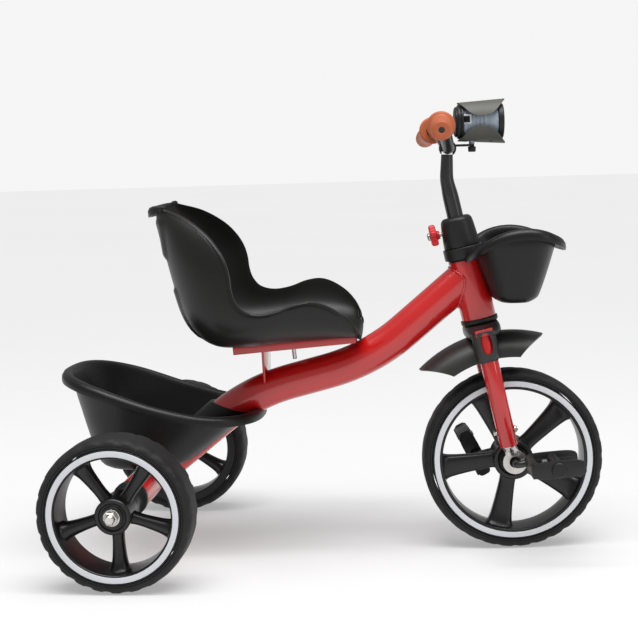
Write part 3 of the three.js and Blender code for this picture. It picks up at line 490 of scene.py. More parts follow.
# Each finish: its material's name, the shader's fixed sockets, then what tone, gloss and grain are given.
# A colour given as a word is one that a user may change.
FINISHES = {
    "paint": (
        "Red powder coat", {"Coat_Weight": 1.0, "Coat_Roughness": 0.04, "Coat_IOR": 1.5},
        ("paint", 1.12, 6.0), (0.28, 0.36), (260.0, 0.12, 0.0003, 0.2),
    ),
    "zinc": ("Zinc plate", {"Metallic": 1.0}, ("zinc", 1.3, 60.0), (0.16, 0.34, 70.0), (700.0, 0.25)),
    "black_steel": (
        "Black powder coat", {"Coat_Weight": 0.35, "Coat_Roughness": 0.15},
        (linear(24, 26, 25), 1.2, 12.0), (0.33, 0.42), (520.0, 0.2),
    ),
    "foam": (
        "Foam tread", {"Specular_IOR_Level": 0.35}, ("tyre", 1.35, 30.0, 0.10), (0.55, 0.72), (1300.0, 0.45),
    ),
    "ring": ("Pale ring", {}, ("ring", 1.06, 12.0), (0.3, 0.42), (600.0, 0.1)),
    "grip": (
        "Brown soft grip", {"Specular_IOR_Level": 0.45}, ("grip", 1.18, 26.0), (0.42, 0.55), (1100.0, 0.25),
    ),
    "lamp": ("Grey-blue lamp body", {}, ("lamp", 1.08, 18.0), (0.38, 0.5), (900.0, 0.15)),
    "visor": ("Dark grey visor", {}, (linear(84, 84, 79), 1.12, 30.0), (0.48, 0.6), (800.0, 0.3)),
    "lens": (
        "Lamp lens", {"Transmission_Weight": 0.85, "IOR": 1.49},
        ((0.86, 0.9, 0.92), 1.05, 20.0), (0.05, 0.12), (300.0, 0.3),
    ),
    "knob": ("Red knob plastic", {}, (linear(205, 32, 38), 1.1, 30.0), (0.25, 0.36), (600.0, 0.1)),
    "seat": (
        "Seat plastic", {"Specular_IOR_Level": 0.34},
        ("seat", 1.2, 9.0, 0.02), (0.34, 0.42, 9.0), (1500.0, 0.18),
    ),
    "rim": (
        "Wheel plastic", {"Specular_IOR_Level": 0.45},
        (linear(22, 22, 22), 1.2, 16.0, 0.02), (0.26, 0.36), (900.0, 0.12),
    ),
    "tub": (
        "Basket plastic", {"Specular_IOR_Level": 0.32},
        ("basket", 1.2, 10.0, 0.02), (0.33, 0.42, 10.0), (1400.0, 0.2),
    ),
    "guard": (
        "Mudguard plastic", {"Specular_IOR_Level": 0.5},
        (linear(40, 40, 39), 1.2, 14.0, 0.04), (0.34, 0.44), (1000.0, 0.3),
    ),
    "tread": (
        "Pedal plastic", {}, (linear(24, 24, 24), 1.3, 40.0, 0.10), (0.36, 0.5, 30.0), (900.0, 0.4),
    ),
    "dark": (
        "Deep shadow plastic", {"Specular_IOR_Level": 0.2},
        ((0.004, 0.004, 0.004), 1.3, 40.0), (0.6, 0.7), (900.0, 0.2),
    ),
    "clip": (
        "Grey clip plastic", {}, (linear(120, 122, 125), 1.2, 40.0), (0.3, 0.45, 30.0), (900.0, 0.2),
    ),
    "moulding": (
        "Black moulding", {"Specular_IOR_Level": 0.34},
        (linear(30, 31, 30), 1.2, 12.0, 0.02), (0.34, 0.44), (1200.0, 0.2),
    ),
}


def make_material(finish):
    name, sockets, (colour, *tone), gloss, grain = FINISHES[finish]
    if isinstance(colour, str):
        colour = getattr(bpy.context.scene.tricycle_colours, colour)
    made = Finish(name, **sockets)
    made.tone(colour, *tone)
    made.gloss(*gloss)
    made.grain(*grain)
    return made.material


_materials = {}


def material(finish):
    if finish not in _materials:
        _materials[finish] = make_material(finish)
    return _materials[finish]


# ---- what a user may change ----
def colour_choice(name, description, red, green, blue):
    return FloatVectorProperty(
        name=name, description=description, subtype="COLOR", size=3, min=0, max=1,
        default=linear(red, green, blue),
    )


class TricycleColours(bpy.types.PropertyGroup):
    """Colours of the main pieces."""

    paint: colour_choice("Paint", "Colour of the painted tubes", 200, 14, 14)
    seat: colour_choice("Seat", "Colour of the seat shell", 25, 25, 24)
    basket: colour_choice("Baskets", "Colour of both baskets", 21, 21, 21)
    tyre: colour_choice("Tyres", "Colour of the foam tyres", 27, 27, 28)
    ring: colour_choice("Rings", "Colour of the trim rings", 218, 219, 224)
    grip: colour_choice("Grips", "Colour of the handlebar grips", 180, 92, 54)
    lamp: colour_choice("Lamp", "Colour of the lamp's body", 172, 186, 200)
    zinc: colour_choice("Zinc", "Colour of the plated steel", 200, 196, 192)


class TricycleSizes(bpy.types.PropertyGroup):
    """Fine sizes that the frame doesn't settle."""

    tread_depth: FloatProperty(
        name="Tread depth", description="Depth of the tyre's grooves, in millimetres", default=1.5, min=0,
        max=3,
    )
    tread_blocks: IntProperty(
        name="Tread blocks", description="Waves of the tread round a tyre", default=26, min=8, max=60,
    )
    lip: FloatProperty(
        name="Seat lip", description="Width of the seat's rolled edge, in millimetres", default=5.0, min=2,
        max=10,
    )
    wheel_steps: IntProperty(
        name="Wheel steps", description="Steps round a wheel", default=128, min=32, max=256,
    )
    key_power: FloatProperty(
        name="Key light", description="Power of the light overhead", default=38.0, min=0, max=500,
        unit="POWER",
    )


# ---- shapes that several pieces share ----
TUBE_LINE = [(-54.66, 0, 382.17), (-193.7, 0, 265.5), (-364.5, 0, 221.3), (-504.2, 0, 110.2)]
TUBE_RADIUS = 25
TUBE_PINCH = 0.93  # the tube's width where it meets the head tube, against its full width
HEAD = Matrix.Translation((0, 0, FRONT_AXLE_HEIGHT)) @ turn(-HEAD_LEAN, "Y")
LEAN = turn(-HEAD_LEAN, "Y")


def tube_body(grow=0.0, extension=0.0, sides=64):
    line = [Vector(point) for point in TUBE_LINE]
    line[-1] += (line[-1] - line[-2]).normalized() * extension
    return swept(bent_line(line, 280, 6.0), TUBE_RADIUS + grow, sides)


def along_y(radius, reach, sides=64):
    return placed(bar(radius, (0, -reach, 0), (0, reach, 0), sides), Matrix.Translation(REAR_AXLE))


def pick(obj, wanted):
    """Selects the faces that wanted(centre, normal) says, and opens edit mode on faces."""
    only(obj)
    for vertex in obj.data.vertices:
        vertex.select = False
    for edge in obj.data.edges:
        edge.select = False
    for face in obj.data.polygons:
        face.select = wanted(face.center, face.normal)
    bpy.ops.object.mode_set(mode="EDIT")
    bpy.ops.mesh.select_mode(type="FACE")


def filled(obj):
    """Closes the open ends of a sheet that runs round."""
    only(obj)
    bpy.ops.object.mode_set(mode="EDIT")
    bpy.ops.mesh.select_all(action="SELECT")
    bpy.ops.mesh.fill_holes(sides=0)
    bpy.ops.mesh.select_all(action="SELECT")
    bpy.ops.mesh.normals_make_consistent(inside=False)
    bpy.ops.object.mode_set(mode="OBJECT")
    return obj


def facing(obj, probe, direction):
    """Turns a sheet so that its face nearest the probe looks along the direction."""
    nearest = min(obj.data.polygons, key=lambda face: (face.center - Vector(probe)).length_squared)
    if nearest.normal.dot(Vector(direction)) < 0:
        obj.data.flip_normals()
    return obj


def tower(stations, rows=24, columns=48):
    """A closed upright body; each station is (height, centre x, half x, half y, centre y, power)."""
    tables = [[(s[0], s[k]) for s in stations] for k in range(1, 6)]
    low, high = stations[0][0], stations[-1][0]

    def place(u, v):
        z = mix(low, high, u)
        centre_x, half_x, half_y, centre_y, power = (ramp(table, z) for table in tables)
        x, y = rounded_loop(centre_x, half_x, half_y, power, 2 * math.pi * v)
        return (x, y + centre_y, z)

    return filled(moulded(rows, columns, place))


def smooth_step(low, high, value):
    t = min(max((value - low) / (high - low), 0), 1)
    return t * t * (3 - 2 * t)


# ---- frame ----
def build_frame_tubes():
    tube = tube_body(extension=-2.0)
    for vertex in tube.data.vertices:
        vertex.co.y *= mix(1, TUBE_PINCH, smooth_step(-115, -60, vertex.co.x))
    cut(tube, placed(bar(24, (0, 0, 150), (0, 0, 320)), HEAD))
    cut(tube, along_y(22.6, 160))
    settle(tube, "main_tube_fine", WORLD, "paint", "frame", ["main_tube"], 50)

    head = spun([(22, 201.5), (24, 201.5), (24, 285), (22, 285)], 72, ease=0.7)
    settle(head, "head_tube_fine", WORLD @ HEAD, "paint", "frame", ["head_tube"])

    cross = spun([(20.7, -138), (22.5, -138), (22.5, 138), (20.7, 138)], 72, "Y", ease=0.6)
    settle(shift(cross, *REAR_AXLE), "rear_cross_tube_fine", WORLD, "paint", "frame", ["rear_cross_tube"])

    settle(head_bead(), "head_weld", WORLD, "paint", "frame")
    settle(cross_bead(), "cross_weld", WORLD, "paint", "frame")

    for name, profile in (
        (
            "headset_lower",
            [(13.6, 194), (24.2, 194), (25.8, 196), (25.8, 201.1), (21.6, 201.1), (21.6, 212), (13.6, 212)],
        ),
        ("headset_upper", [(13.6, 273), (21.6, 273), (21.6, 285.4), (23.5, 285.4), (23.5, 287), (13.6, 287)]),
    ):
        bush = spun(profile, 72, ease=0.7)
        settle(bush, name + "_ring", WORLD @ HEAD, "moulding", "frame", [name + "_bush"])


def bead(points, radius, ripple):
    radii = [1 + ripple * math.sin(k * 2.4) for k in range(len(points))]
    return swept([*points, points[0]], radius, 16, [*radii, radii[0]])


def head_bead():
    """The rippled weld where the main tube meets the head tube."""
    axis = Vector((-math.sin(math.radians(HEAD_LEAN)), 0, math.cos(math.radians(HEAD_LEAN))))
    foot = Vector(TUBE_LINE[0])
    back = (Vector(TUBE_LINE[1]) - foot).normalized()
    upward = Vector((back.z, 0, -back.x))
    points = []
    for k in range(84):
        angle = 2 * math.pi * k / 84
        start = foot + upward * TUBE_RADIUS * math.cos(angle) + Vector(
            (0, TUBE_RADIUS * TUBE_PINCH * math.sin(angle), 0)
        )
        offset = start - Vector((0, 0, FRONT_AXLE_HEIGHT))
        across = offset - axis * offset.dot(axis)
        run = back - axis * back.dot(axis)
        a, b, c = run.dot(run), 2 * across.dot(run), across.dot(across) - 24.2 ** 2
        reach = (-b + math.sqrt(max(b * b - 4 * a * c, 0))) / (2 * a)
        points.append(start + back * reach)
    return bead(points, 1.9, 0.16)


def cross_bead():
    """The rippled weld where the main tube meets the cross tube."""
    foot = Vector(TUBE_LINE[-1])
    ahead = (Vector(TUBE_LINE[-2]) - foot).normalized()
    upward = Vector((-ahead.z, 0, ahead.x))
    points = []
    for k in range(84):
        angle = 2 * math.pi * k / 84
        start = foot + upward * TUBE_RADIUS * math.cos(angle) + Vector((0, TUBE_RADIUS * math.sin(angle), 0))
        offset = start - REAR_AXLE
        across = Vector((offset.x, 0, offset.z))
        a, b, c = 1.0, 2 * across.dot(ahead), across.dot(across) - 22.8 ** 2
        reach = (-b + math.sqrt(max(b * b - 4 * a * c, 0))) / (2 * a)
        points.append(start + ahead * reach)
    return bead(points, 1.8, 0.16)


# ---- seat mount ----
SEAT_BOLT_X = {"front": (-45, -13), "rear": (-106, -30)}


def build_seat_mount():
    plate = block((172, 82, 11), (-100, 0, -5.8))
    pick(plate, lambda centre, normal: normal.z < -0.9)
    bpy.ops.mesh.inset(thickness=2.2, depth=0)
    bpy.ops.mesh.extrude_region_move(TRANSFORM_OT_translate={"value": (0, 0, 8.8)})
    bpy.ops.object.mode_set(mode="OBJECT")
    bevel(weld(plate), 1.0, 3)
    in_seat = SEAT.inverted() @ MM
    cut(plate, placed(tube_body(0.3), in_seat))
    settle(plate, "seat_plate_fine", SEAT, "paint", "frame", ["seat_plate"])

    leaf = slab(eased([(-38, 291.3), (-27, 236), (27, 236), (38, 291.3)], 8, 5), 3.4, 0.7)
    placed(leaf, Matrix.Translation((-342, 0, 0)) @ turn(90, "Z"))
    cut(leaf, tube_body(0.3))
    settle(leaf, "seat_strut_fine", WORLD, "paint", "frame", ["seat_strut"])

    for place, (x, tip) in SEAT_BOLT_X.items():
        bolt = spun(
            [(0, tip), (2.4, tip), (3, tip + 0.8), (3, 4.3), (8, 4.3), (7.4, 6.8), (4.5, 8.2), (0, 8.7)], 40,
            ease=0.5, closed=False,
        )
        settle(shift(bolt, x), f"seat_bolt_{place}_fine", SEAT, "zinc", "frame", [f"seat_bolt_{place}"])
        nut = spun([(3.3, -9.3), (4.9, -9.3), (5.3, -8.6), (5.3, -4.4), (3.3, -4.4)], 6)
        washer = spun([(3.3, -4.3), (8.5, -4.3), (8.5, -2.8), (3.3, -2.8)], 40, ease=0.3)
        both = cut(
            join([nut, washer]), placed(tube_body(0.3, sides=48), Matrix.Translation((-x, 0, 0)) @ in_seat),
        )
        settle(shift(both, x), f"seat_nut_{place}_fine", SEAT, "zinc", "frame", [f"seat_nut_{place}"], 30)


# ---- seat ----
# Stations from the nose of the pan to the top of the back: (share, x, height) down the middle, then
# (share, x, height, half width) along the edge.
SEAT_SPINE = [
    (0, -203, 306), (0.08, -228, 304.5), (0.20, -268, 301), (0.32, -308, 298), (0.42, -345, 295),
    (0.48, -372, 293.5),
    (0.53, -395, 294.5), (0.58, -411, 300), (0.63, -424, 309), (0.68, -436, 322), (0.73, -446, 342),
    (0.78, -455, 372),
    (0.83, -462, 399), (0.88, -467, 421), (0.93, -471, 445), (0.97, -475.5, 463), (1, -479, 476),
]
SEAT_EDGE = [
    (0, -203, 311, 78), (0.05, -206, 323, 97), (0.12, -221, 341, 110), (0.19, -242, 355, 116),
    (0.26, -262, 361, 118),
    (0.33, -284, 358, 119), (0.41, -308, 349.5, 120), (0.48, -332, 346, 121), (0.55, -352, 351, 121),
    (0.61, -363, 363, 121),
    (0.67, -368, 378, 120), (0.73, -370, 396, 118), (0.79, -375, 414, 114), (0.85, -385, 432, 107),
    (0.91, -402, 451, 95),
    (0.96, -430, 470, 76), (1, -462, 482, 52),
]
SEAT_BROW = [(0, 0, 0), (0.2, -0.5, 7), (0.4, -4, 12.5), (0.65, -11, 12), (0.82, -16, 7), (1, -15, -3)]
SEAT_SKEW, SEAT_ROLL = 0.05, 0.045  # how far the shell stands askew on its plate
SEAT_HALF_WIDTH = 120
# Shares of the shell that curl down at the nose, back at the brow, and out along the sides.
NOSE_CURL, BROW_CURL, SIDE_CURL = 0.03, 0.06, 0.07


def seat_column(table, share, column):
    return ramp([(row[0], row[column]) for row in table], share)


def seat_edge(share):
    return Vector([seat_column(SEAT_EDGE, share, k) for k in (1, 3, 2)])


def seat_point(u, v, lip):
    along = mix(-NOSE_CURL, 1 + BROW_CURL, u)
    share = min(max(along, 0), 1)
    side = mix(-1 - SIDE_CURL, 1 + SIDE_CURL, v)
    within = min(abs(side), 1)
    sign = math.copysign(1, side)
    middle = Vector((seat_column(SEAT_SPINE, share, 1), 0, seat_column(SEAT_SPINE, share, 2)))
    edge = seat_edge(share)
    edge.y *= sign
    angle = within * math.pi / 2
    power = 0.76
    rise = 1 - math.cos(angle) ** power
    point = middle.lerp(Vector((edge.x, 0, edge.z)), rise)
    point.y = edge.y * math.sin(angle) ** power
    if abs(side) > 1:
        turned = (abs(side) - 1) / SIDE_CURL
        tangent = seat_edge(min(share + 0.02, 1)) - seat_edge(max(share - 0.02, 0))
        tangent.y *= sign
        tangent.normalize()
        outward = Vector((0, sign, 0)) - tangent * sign * tangent.y
        away = (middle - Vector((edge.x, 0, edge.z))).normalized()
        point += outward.normalized() * lip * math.sin(min(turned / 0.7, 1) * math.pi / 2)
        point += away * lip * 0.8 * smooth_step(0.25, 1, turned)
    if along > 1:
        curl = (along - 1) / BROW_CURL
        slim = 1 - 0.72 * within ** 2.5
        point.x += ramp([(row[0], row[1]) for row in SEAT_BROW], curl) * slim
        point.z += ramp([(row[0], row[2]) for row in SEAT_BROW], curl) * slim
    if along < 0:
        curl = -along / NOSE_CURL
        point.x += 4.5 * math.sin(curl * math.pi / 2)
        point.z -= 4 * smooth_step(0.2, 1, curl)
    point.x -= SEAT_SKEW * (point.y + SEAT_HALF_WIDTH)
    point.z += SEAT_ROLL * (point.y + SEAT_HALF_WIDTH) * rise
    return point


def build_seat(lip):
    shell = moulded(128, 96, lambda u, v: seat_point(u, v, lip))
    facing(shell, (-300, 0, 298), (0, 0, 1))
    inner = len(shell.data.vertices)
    modify(shell, "SOLIDIFY", thickness=3.6, offset=-1, use_even_offset=False)
    for vertex in shell.data.vertices[inner:]:
        x, y, z = vertex.co
        low = smooth_step(306, 309, z) * (1 - smooth_step(374, 377, z)) * (1 - smooth_step(66, 70, abs(y)))
        high = smooth_step(413, 422, z) * (1 - smooth_step(464, 476, z)) * (1 - smooth_step(58, 66, abs(y)))
        if x < -395:
            vertex.co += Vector((-0.97, 0, 0.1)) * (3.0 * low + 4.0 * high)
    slot = tower([(-60, 0, 6.5, 33, 0, 3), (60, 0, 6.5, 33, 0, 3)], 2, 48)
    placed(slot, Matrix.Translation((-473, 0, 478)) @ turn(98, "Y"))
    cut(shell, slot)
    for x, _ in SEAT_BOLT_X.values():
        hole = placed(bar(3.3, (x, 0, -20), (x, 0, 20), 32), MM.inverted() @ SEAT)
        cut(shell, hole)
    settle(shell, "seat_shell_fine", WORLD, "seat", "frame", ["seat_shell"], 50)


# ---- rear basket ----
TUB_FLOOR = 125.4
TUB_EDGE = [(-660, 262), (-618, 259), (-560, 243), (-472, 213), (-400, 198), (-300, 197)]


def tub_point(height, grow, angle):
    rise = max((height - TUB_FLOOR) / (240 - TUB_FLOOR), 0)
    bulge = rise ** 0.75
    forward = min((height - TUB_FLOOR) / (200 - TUB_FLOOR), 1.1)
    rear = -578 - 36 * bulge - grow
    front = -455 + 101 * forward + grow
    half = 76 + 36 * bulge + grow
    return rounded_loop((rear + front) / 2, (front - rear) / 2, half, 2.7, angle)


def tub_edge_height(angle, lift=0.0):
    height = 225.0
    for _ in range(8):
        height = ramp(TUB_EDGE, tub_point(height, 0, angle)[0])
    return height + lift


TUB_ROLL = [(1.5, 1.4), (4.5, 2.2), (7.5, 1.2), (9.2, -1.8), (9.6, -5.5), (9.2, -8.5)]


def tub_wall(rows, columns, roll, lift=0.0):
    floor_rows, wall_rows = 5, rows - 5 - len(roll)

    def place(u, v):
        row = round(u * rows)
        angle = 2 * math.pi * v
        if row <= floor_rows:
            share = row / floor_rows
            x, y = tub_point(TUB_FLOOR + 0.6, -7, angle)
            centre = (-578 - 455) / 2
            return (mix(centre, x, share), y * share, TUB_FLOOR)
        top = tub_edge_height(angle, lift)
        if row <= floor_rows + wall_rows:
            share = (row - floor_rows) / wall_rows
            height = mix(TUB_FLOOR, top, share ** 1.15)
            ease = max(1 - (height - TUB_FLOOR) / 9, 0)
            x, y = tub_point(height, -6 * ease ** 2, angle)
            return (x, y, height)
        grow, rise = roll[row - floor_rows - wall_rows - 1]
        x, y = tub_point(top, grow, angle)
        return (x, y, top + rise)

    return moulded(rows, columns, place)


def build_rear_basket():
    tub = tub_wall(34, 128, TUB_ROLL)
    facing(tub, (-614, 0, 235), (-1, 0, 0))
    modify(tub, "SOLIDIFY", thickness=2.6, offset=-1, use_even_offset=False)
    inside = filled(tub_wall(28, 96, [], -0.8))
    channel = cut(tube_body(3.6, 14.0, 48), inside, "INTERSECT")
    for part in (tub, channel):
        cut(part, tube_body(0.5, 30.0, 64))
        cut(part, along_y(22.9, 150, 64))
    join([tub, channel])
    settle(tub, "rear_basket_fine", WORLD, "tub", "frame", ["rear_basket"], 45)


# ---- rear axle ----
def build_rear_axle():
    stub = []
    for k in range(9):
        stub += [(6.0, 246.5 + k * 1.4), (5.55, 247.2 + k * 1.4)]
    axle = spun([(0, -259), (5, -259), (5.6, -258.4)] + [(r, -h) for r, h in reversed(stub)]
                + stub + [(5.6, 258.4), (5, 259), (0, 259)], 40, "Y", closed=False)
    settle(shift(axle, *REAR_AXLE), "rear_axle_fine", WORLD, "zinc", "frame", ["rear_axle"], 30)
    for side, sign in SIDES:
        place = MM @ Matrix.Translation(REAR_AXLE) @ Matrix.Diagonal((1, sign, 1, 1))
        bush = spun(
            [
                (6.4, 126), (20.4, 126), (20.4, 138.4), (24, 138.4), (24, 146), (17.5, 149.5), (17, 186),
                (6.4, 186),
            ],
            72, "Y", ease=0.8,
        )
        settle(bush, f"axle_bush_{side}_fine", place, "moulding", "frame", [f"axle_bush_{side}"])
        washer = spun([(6.3, 243.8), (11, 243.8), (11, 245.5), (6.3, 245.5)], 56, "Y", ease=0.4)
        settle(washer, f"rear_washer_{side}_fine", place, "zinc", "frame", [f"rear_washer_{side}"])
        nut = spun([(7.2, 245.8), (8.6, 245.8), (9.5, 246.6), (9.5, 252.2), (8.4, 253), (7.2, 253)], 6, "Y")
        settle(nut, f"rear_nut_{side}_fine", place, "zinc", "frame", [f"rear_nut_{side}"], 20)


# ---- wheels ----
REAR = {
    "radius": 102.0, "seat": 89.4, "half": 28.5, "rim": 88.4, "barrel": 76, "ring": (78.7, 86.3), "hub": 24,
    "reach": 27,
    "boss": 14, "boss_reach": 28.3, "bore": 6.4,
    "spoke": [
        (17, 10, 10), (24, 8.6, 9), (34, 8, 8.6), (52, 9, 9.6), (64, 10.4, 11), (70, 12, 12.6),
        (73.5, 14, 14.5), (76.8, 18, 18),
    ],
    "power": 2.15,
}
FRONT = {
    "radius": 124.8, "seat": 112.6, "half": 25, "rim": 111.4, "barrel": 98, "ring": (102.1, 109.5), "hub": 28,
    "reach": 27,
    "boss": 13, "boss_reach": 37.8, "bore": 5.8,
    "spoke": [
        (20, 13, 9), (30, 11.2, 7.6), (45, 11.6, 7.8), (70, 13.6, 9), (86, 15.6, 10.5), (93, 17.6, 12.5),
        (98.8, 22, 17),
    ],
    "power": 3.4,
}


def wheel_body(wheel, first_angle):
    """Barrel, hub disc and five spokes, moulded in one."""
    w, barrel, rim = wheel["half"], wheel["barrel"], wheel["rim"]
    inner, outer = wheel["ring"]
    face = [
        (barrel + 1.2, w), (inner - 0.9, w), (inner - 0.7, w - 0.7), (outer + 0.7, w - 0.7), (outer + 0.9, w),
        (rim, w),
        (rim, w - 4), (barrel + 3.6, w - 4),
    ]
    profile = face + [(r, -h) for r, h in reversed(face)] + [
        (barrel, 1.5 - w), (barrel - 1.2, -6), (barrel - 1.2, 6), (barrel, w - 1.5),
    ]
    drum = spun(profile, 144, "Y", ease=0.9)
    hub, reach, boss = wheel["hub"], wheel["reach"], wheel["boss"]
    side = [
        (wheel["bore"], wheel["boss_reach"]), (boss, wheel["boss_reach"]), (boss + 0.4, reach - 2.2),
        (hub * 0.72, reach - 2.2),
        (hub * 0.76, reach - 0.2), (hub - 2, reach - 0.2), (hub, reach - 2.6), (hub - 1, reach - 9),
    ]
    disc = spun(side + [(r, -h) for r, h in reversed(side)], 96, "Y", ease=0.9)
    stations = wheel["spoke"]
    tables = [[(s[0], s[k]) for s in stations] for k in (1, 2)]

    def place(u, v):
        r = mix(stations[0][0], stations[-1][0], u)
        z, y = rounded_loop(0, ramp(tables[0], r), ramp(tables[1], r), wheel["power"], 2 * math.pi * v)
        return (r, y, z)

    spoke = filled(moulded(36, 40, place))
    spokes = []
    for k in range(5):
        twin = copy_of(spoke)
        spokes.append(placed(twin, turn(-(first_angle + 72 * k), "Y")))
    bpy.data.objects.remove(spoke)
    return join([drum, disc, *spokes])


def tyre_body(wheel, depth, blocks, steps):
    radius, seat, w = wheel["radius"], wheel["seat"], wheel["half"]
    half = [
        (seat, w - 0.4), (seat + 2.0, w), (seat + 2.6, w - 0.8), (seat + 3.2, w), (radius - 6.5, w),
        (radius - 5.0, w - 0.6),
        (radius - 3.4, w - 1.8), (radius - 2.0, w - 3.6), (radius - 1.0, w - 6), (radius - 0.4, w - 9),
        (radius - 0.1, w - 12),
        (radius, w - 15), (radius, 3),
    ]
    tyre = spun(half + [(r, -h) for r, h in reversed(half)], steps, "Y")
    for vertex in tyre.data.vertices:
        x, y, z = vertex.co
        r = math.hypot(x, z)
        shoulder = smooth_step(w - 14, w - 8, abs(y)) * smooth_step(radius - 7.5, radius - 4.5, r)
        if not shoulder:
            continue
        turned = math.atan2(z, x) * blocks + (math.pi if y > 0 else 0)
        wave = smooth_step(0.35, 0.8, math.cos(turned))
        scale = 1 - depth * shoulder * wave / r
        vertex.co = (x * scale, y - math.copysign(depth * 0.5 * shoulder * wave, y), z * scale)
    return tyre


def ring_body(wheel, sign):
    inner, outer = wheel["ring"]
    low = sign * (wheel["half"] - 0.6)
    high = sign * (wheel["half"] + 1.0)
    return spun([(inner, low), (outer, low), (outer, high), (inner, high)], 160, "Y", ease=0.45)


def build_rear_wheels(sizes):
    for side, sign, first in (("left", 1, 40), ("right", -1, 55)):
        place, body = rear_wheel_place(sign), f"rear_wheel_{side}"
        settle(wheel_body(REAR, first), f"rear_rim_{side}_fine", place, "rim", body, [f"rear_rim_{side}"], 45)
        tyre = tyre_body(REAR, sizes.tread_depth, sizes.tread_blocks, sizes.wheel_steps)
        settle(tyre, f"rear_tyre_{side}_fine", place, "foam", body, [f"rear_tyre_{side}"], 50)
        settle(ring_body(REAR, sign), f"rear_ring_{side}_fine", place, "ring", body, [f"rear_ring_{side}"])


def build_front_wheel(sizes):
    settle(wheel_body(FRONT, 31), "front_rim_fine", STEERING, "rim", "front_wheel", ["front_rim"], 45)
    tyre = tyre_body(FRONT, sizes.tread_depth, sizes.tread_blocks + 6, sizes.wheel_steps)
    settle(tyre, "front_tyre_fine", STEERING, "foam", "front_wheel", ["front_tyre"], 50)
    for side, sign in SIDES:
        settle(
            ring_body(FRONT, sign), f"front_ring_{side}_fine", STEERING, "ring", "front_wheel",
            [f"front_ring_{side}"],
        )


# ---- cranks and pedals ----
THROW = Vector((45, 0, 0))
PEDAL_TILT = {"left": 75, "right": 8}


def build_drive():
    half = [THROW + Vector((0, -150, 0)), THROW + Vector((0, -64, 0)), Vector((0, -64, 0))]
    other = [Vector((-p.x, -p.y, -p.z)) for p in reversed(half)]
    crank = swept(bent_line([*half, *other], 8, 4.0), 5, 32)
    settle(crank, "crank_axle_fine", STEERING, "black_steel", "front_wheel", ["crank_axle"], 50)
    for side, sign in SIDES:
        build_pedal(side, sign)


def build_pedal(side, sign):
    """A moulded pedal: two treaded bars and two end plates round a barrel, capped at its end."""
    place = STEERING @ Matrix.Translation(
        THROW * -sign + Vector((0, sign * 112, 0))
    ) @ turn(PEDAL_TILT[side], "Y") @ Matrix.Diagonal((1, sign, 1, 1))
    parts = []
    outline = [(x, z) for x, z in (rounded_loop(0, 35.6, 11.4, 4, 2 * math.pi * k / 40) for k in range(40))]
    for y in (-33.4, 33.4):
        parts.append(shift(slab(outline, 5, 0.8), 0, y, 0))
    for x in (-29.5, 29.5):
        parts.append(block((9, 66, 19), (x, 0, 0), 1.4))
        for k in range(6):
            for z in (-1, 1):
                parts.append(block((8, 4.6, 4), (x, -25 + 10 * k, z * 9.4), 0.8))
    for x in (-14, 14):
        parts.append(block((4.5, 66, 15), (x, 0, 0), 1.0))
    for y in (-16, 16):
        parts.append(block((56, 3, 12), (0, y, 0), 0.8))
    barrel = spun([(5.5, -36), (9.5, -36), (9.5, 36), (5.5, 36)], 40, "Y", ease=0.8)
    pedal = join(parts)
    cut(pedal, bar(5.5, (0, -60, 0), (0, 60, 0), 32))
    pedal = join([pedal, barrel])
    settle(pedal, f"pedal_{side}_fine", place, "tread", f"pedal_{side}", [f"pedal_{side}"], 35)
    cap = spun([(0, 39.6), (8.2, 39.6), (9.6, 38.6), (10, 36.2), (0, 36.2)], 48, "Y", ease=0.6, closed=False)
    settle(cap, f"pedal_cap_{side}", place, "moulding", f"pedal_{side}")
    clip = join([block((5, 9, 2.6), (-16, 24, 11.2), 0.8), block((2.6, 9, 12), (-18.6, 24, 6.4), 0.8)])
    settle(clip, f"pedal_clip_{side}", place, "clip", f"pedal_{side}")


# ---- fork ----
LEG_SPREAD = 41  # from the middle to a leg
FORK_BOLT = 45  # height of the bolts that hold the tips


def build_fork():
    for side, sign in SIDES:
        y = sign * LEG_SPREAD
        leg = spun(
            [(11, 24), (12.1, 24), (12.5, 24.6), (12.5, 189.4), (12.1, 190), (11, 190)], 64, closed=True,
        )
        shift(leg, -3, y, 0)
        cut(leg, bar(2.8, (-40, y, FORK_BOLT), (40, y, FORK_BOLT), 24))
        settle(leg, f"fork_leg_{side}_fine", STEERING, "paint", "fork", [f"fork_leg_{side}"])
        settle(fork_tip(y), f"fork_tip_{side}_fine", STEERING, "zinc", "fork", [f"fork_tip_{side}"], 45)
        bushing = shift(spun([(5.5, -3.6), (7.7, -3.6), (7.7, 3.6), (5.5, 3.6)], 40, "Y", ease=0.5), 0, y, 0)
        settle(bushing, f"fork_bushing_{side}", STEERING, "dark", "fork")
        shank = bar(2.5, (-20, y, FORK_BOLT), (14, y, FORK_BOLT), 24)
        dome = spun([(0, 4.2), (2.6, 3.7), (4.4, 2.2), (5, 0.2), (0, 0.2)], 32, "X", closed=False)
        shift(dome, 9.5, y, FORK_BOLT)
        nut = shift(spun([(0, 0), (4.6, 0), (4.6, 4), (0, 4)], 6, "X", closed=False), -20, y, FORK_BOLT)
        settle(
            join([shank, dome, nut]), f"fork_bolt_{side}_fine", STEERING, "zinc", "fork",
            [f"fork_bolt_{side}"], 30,
        )


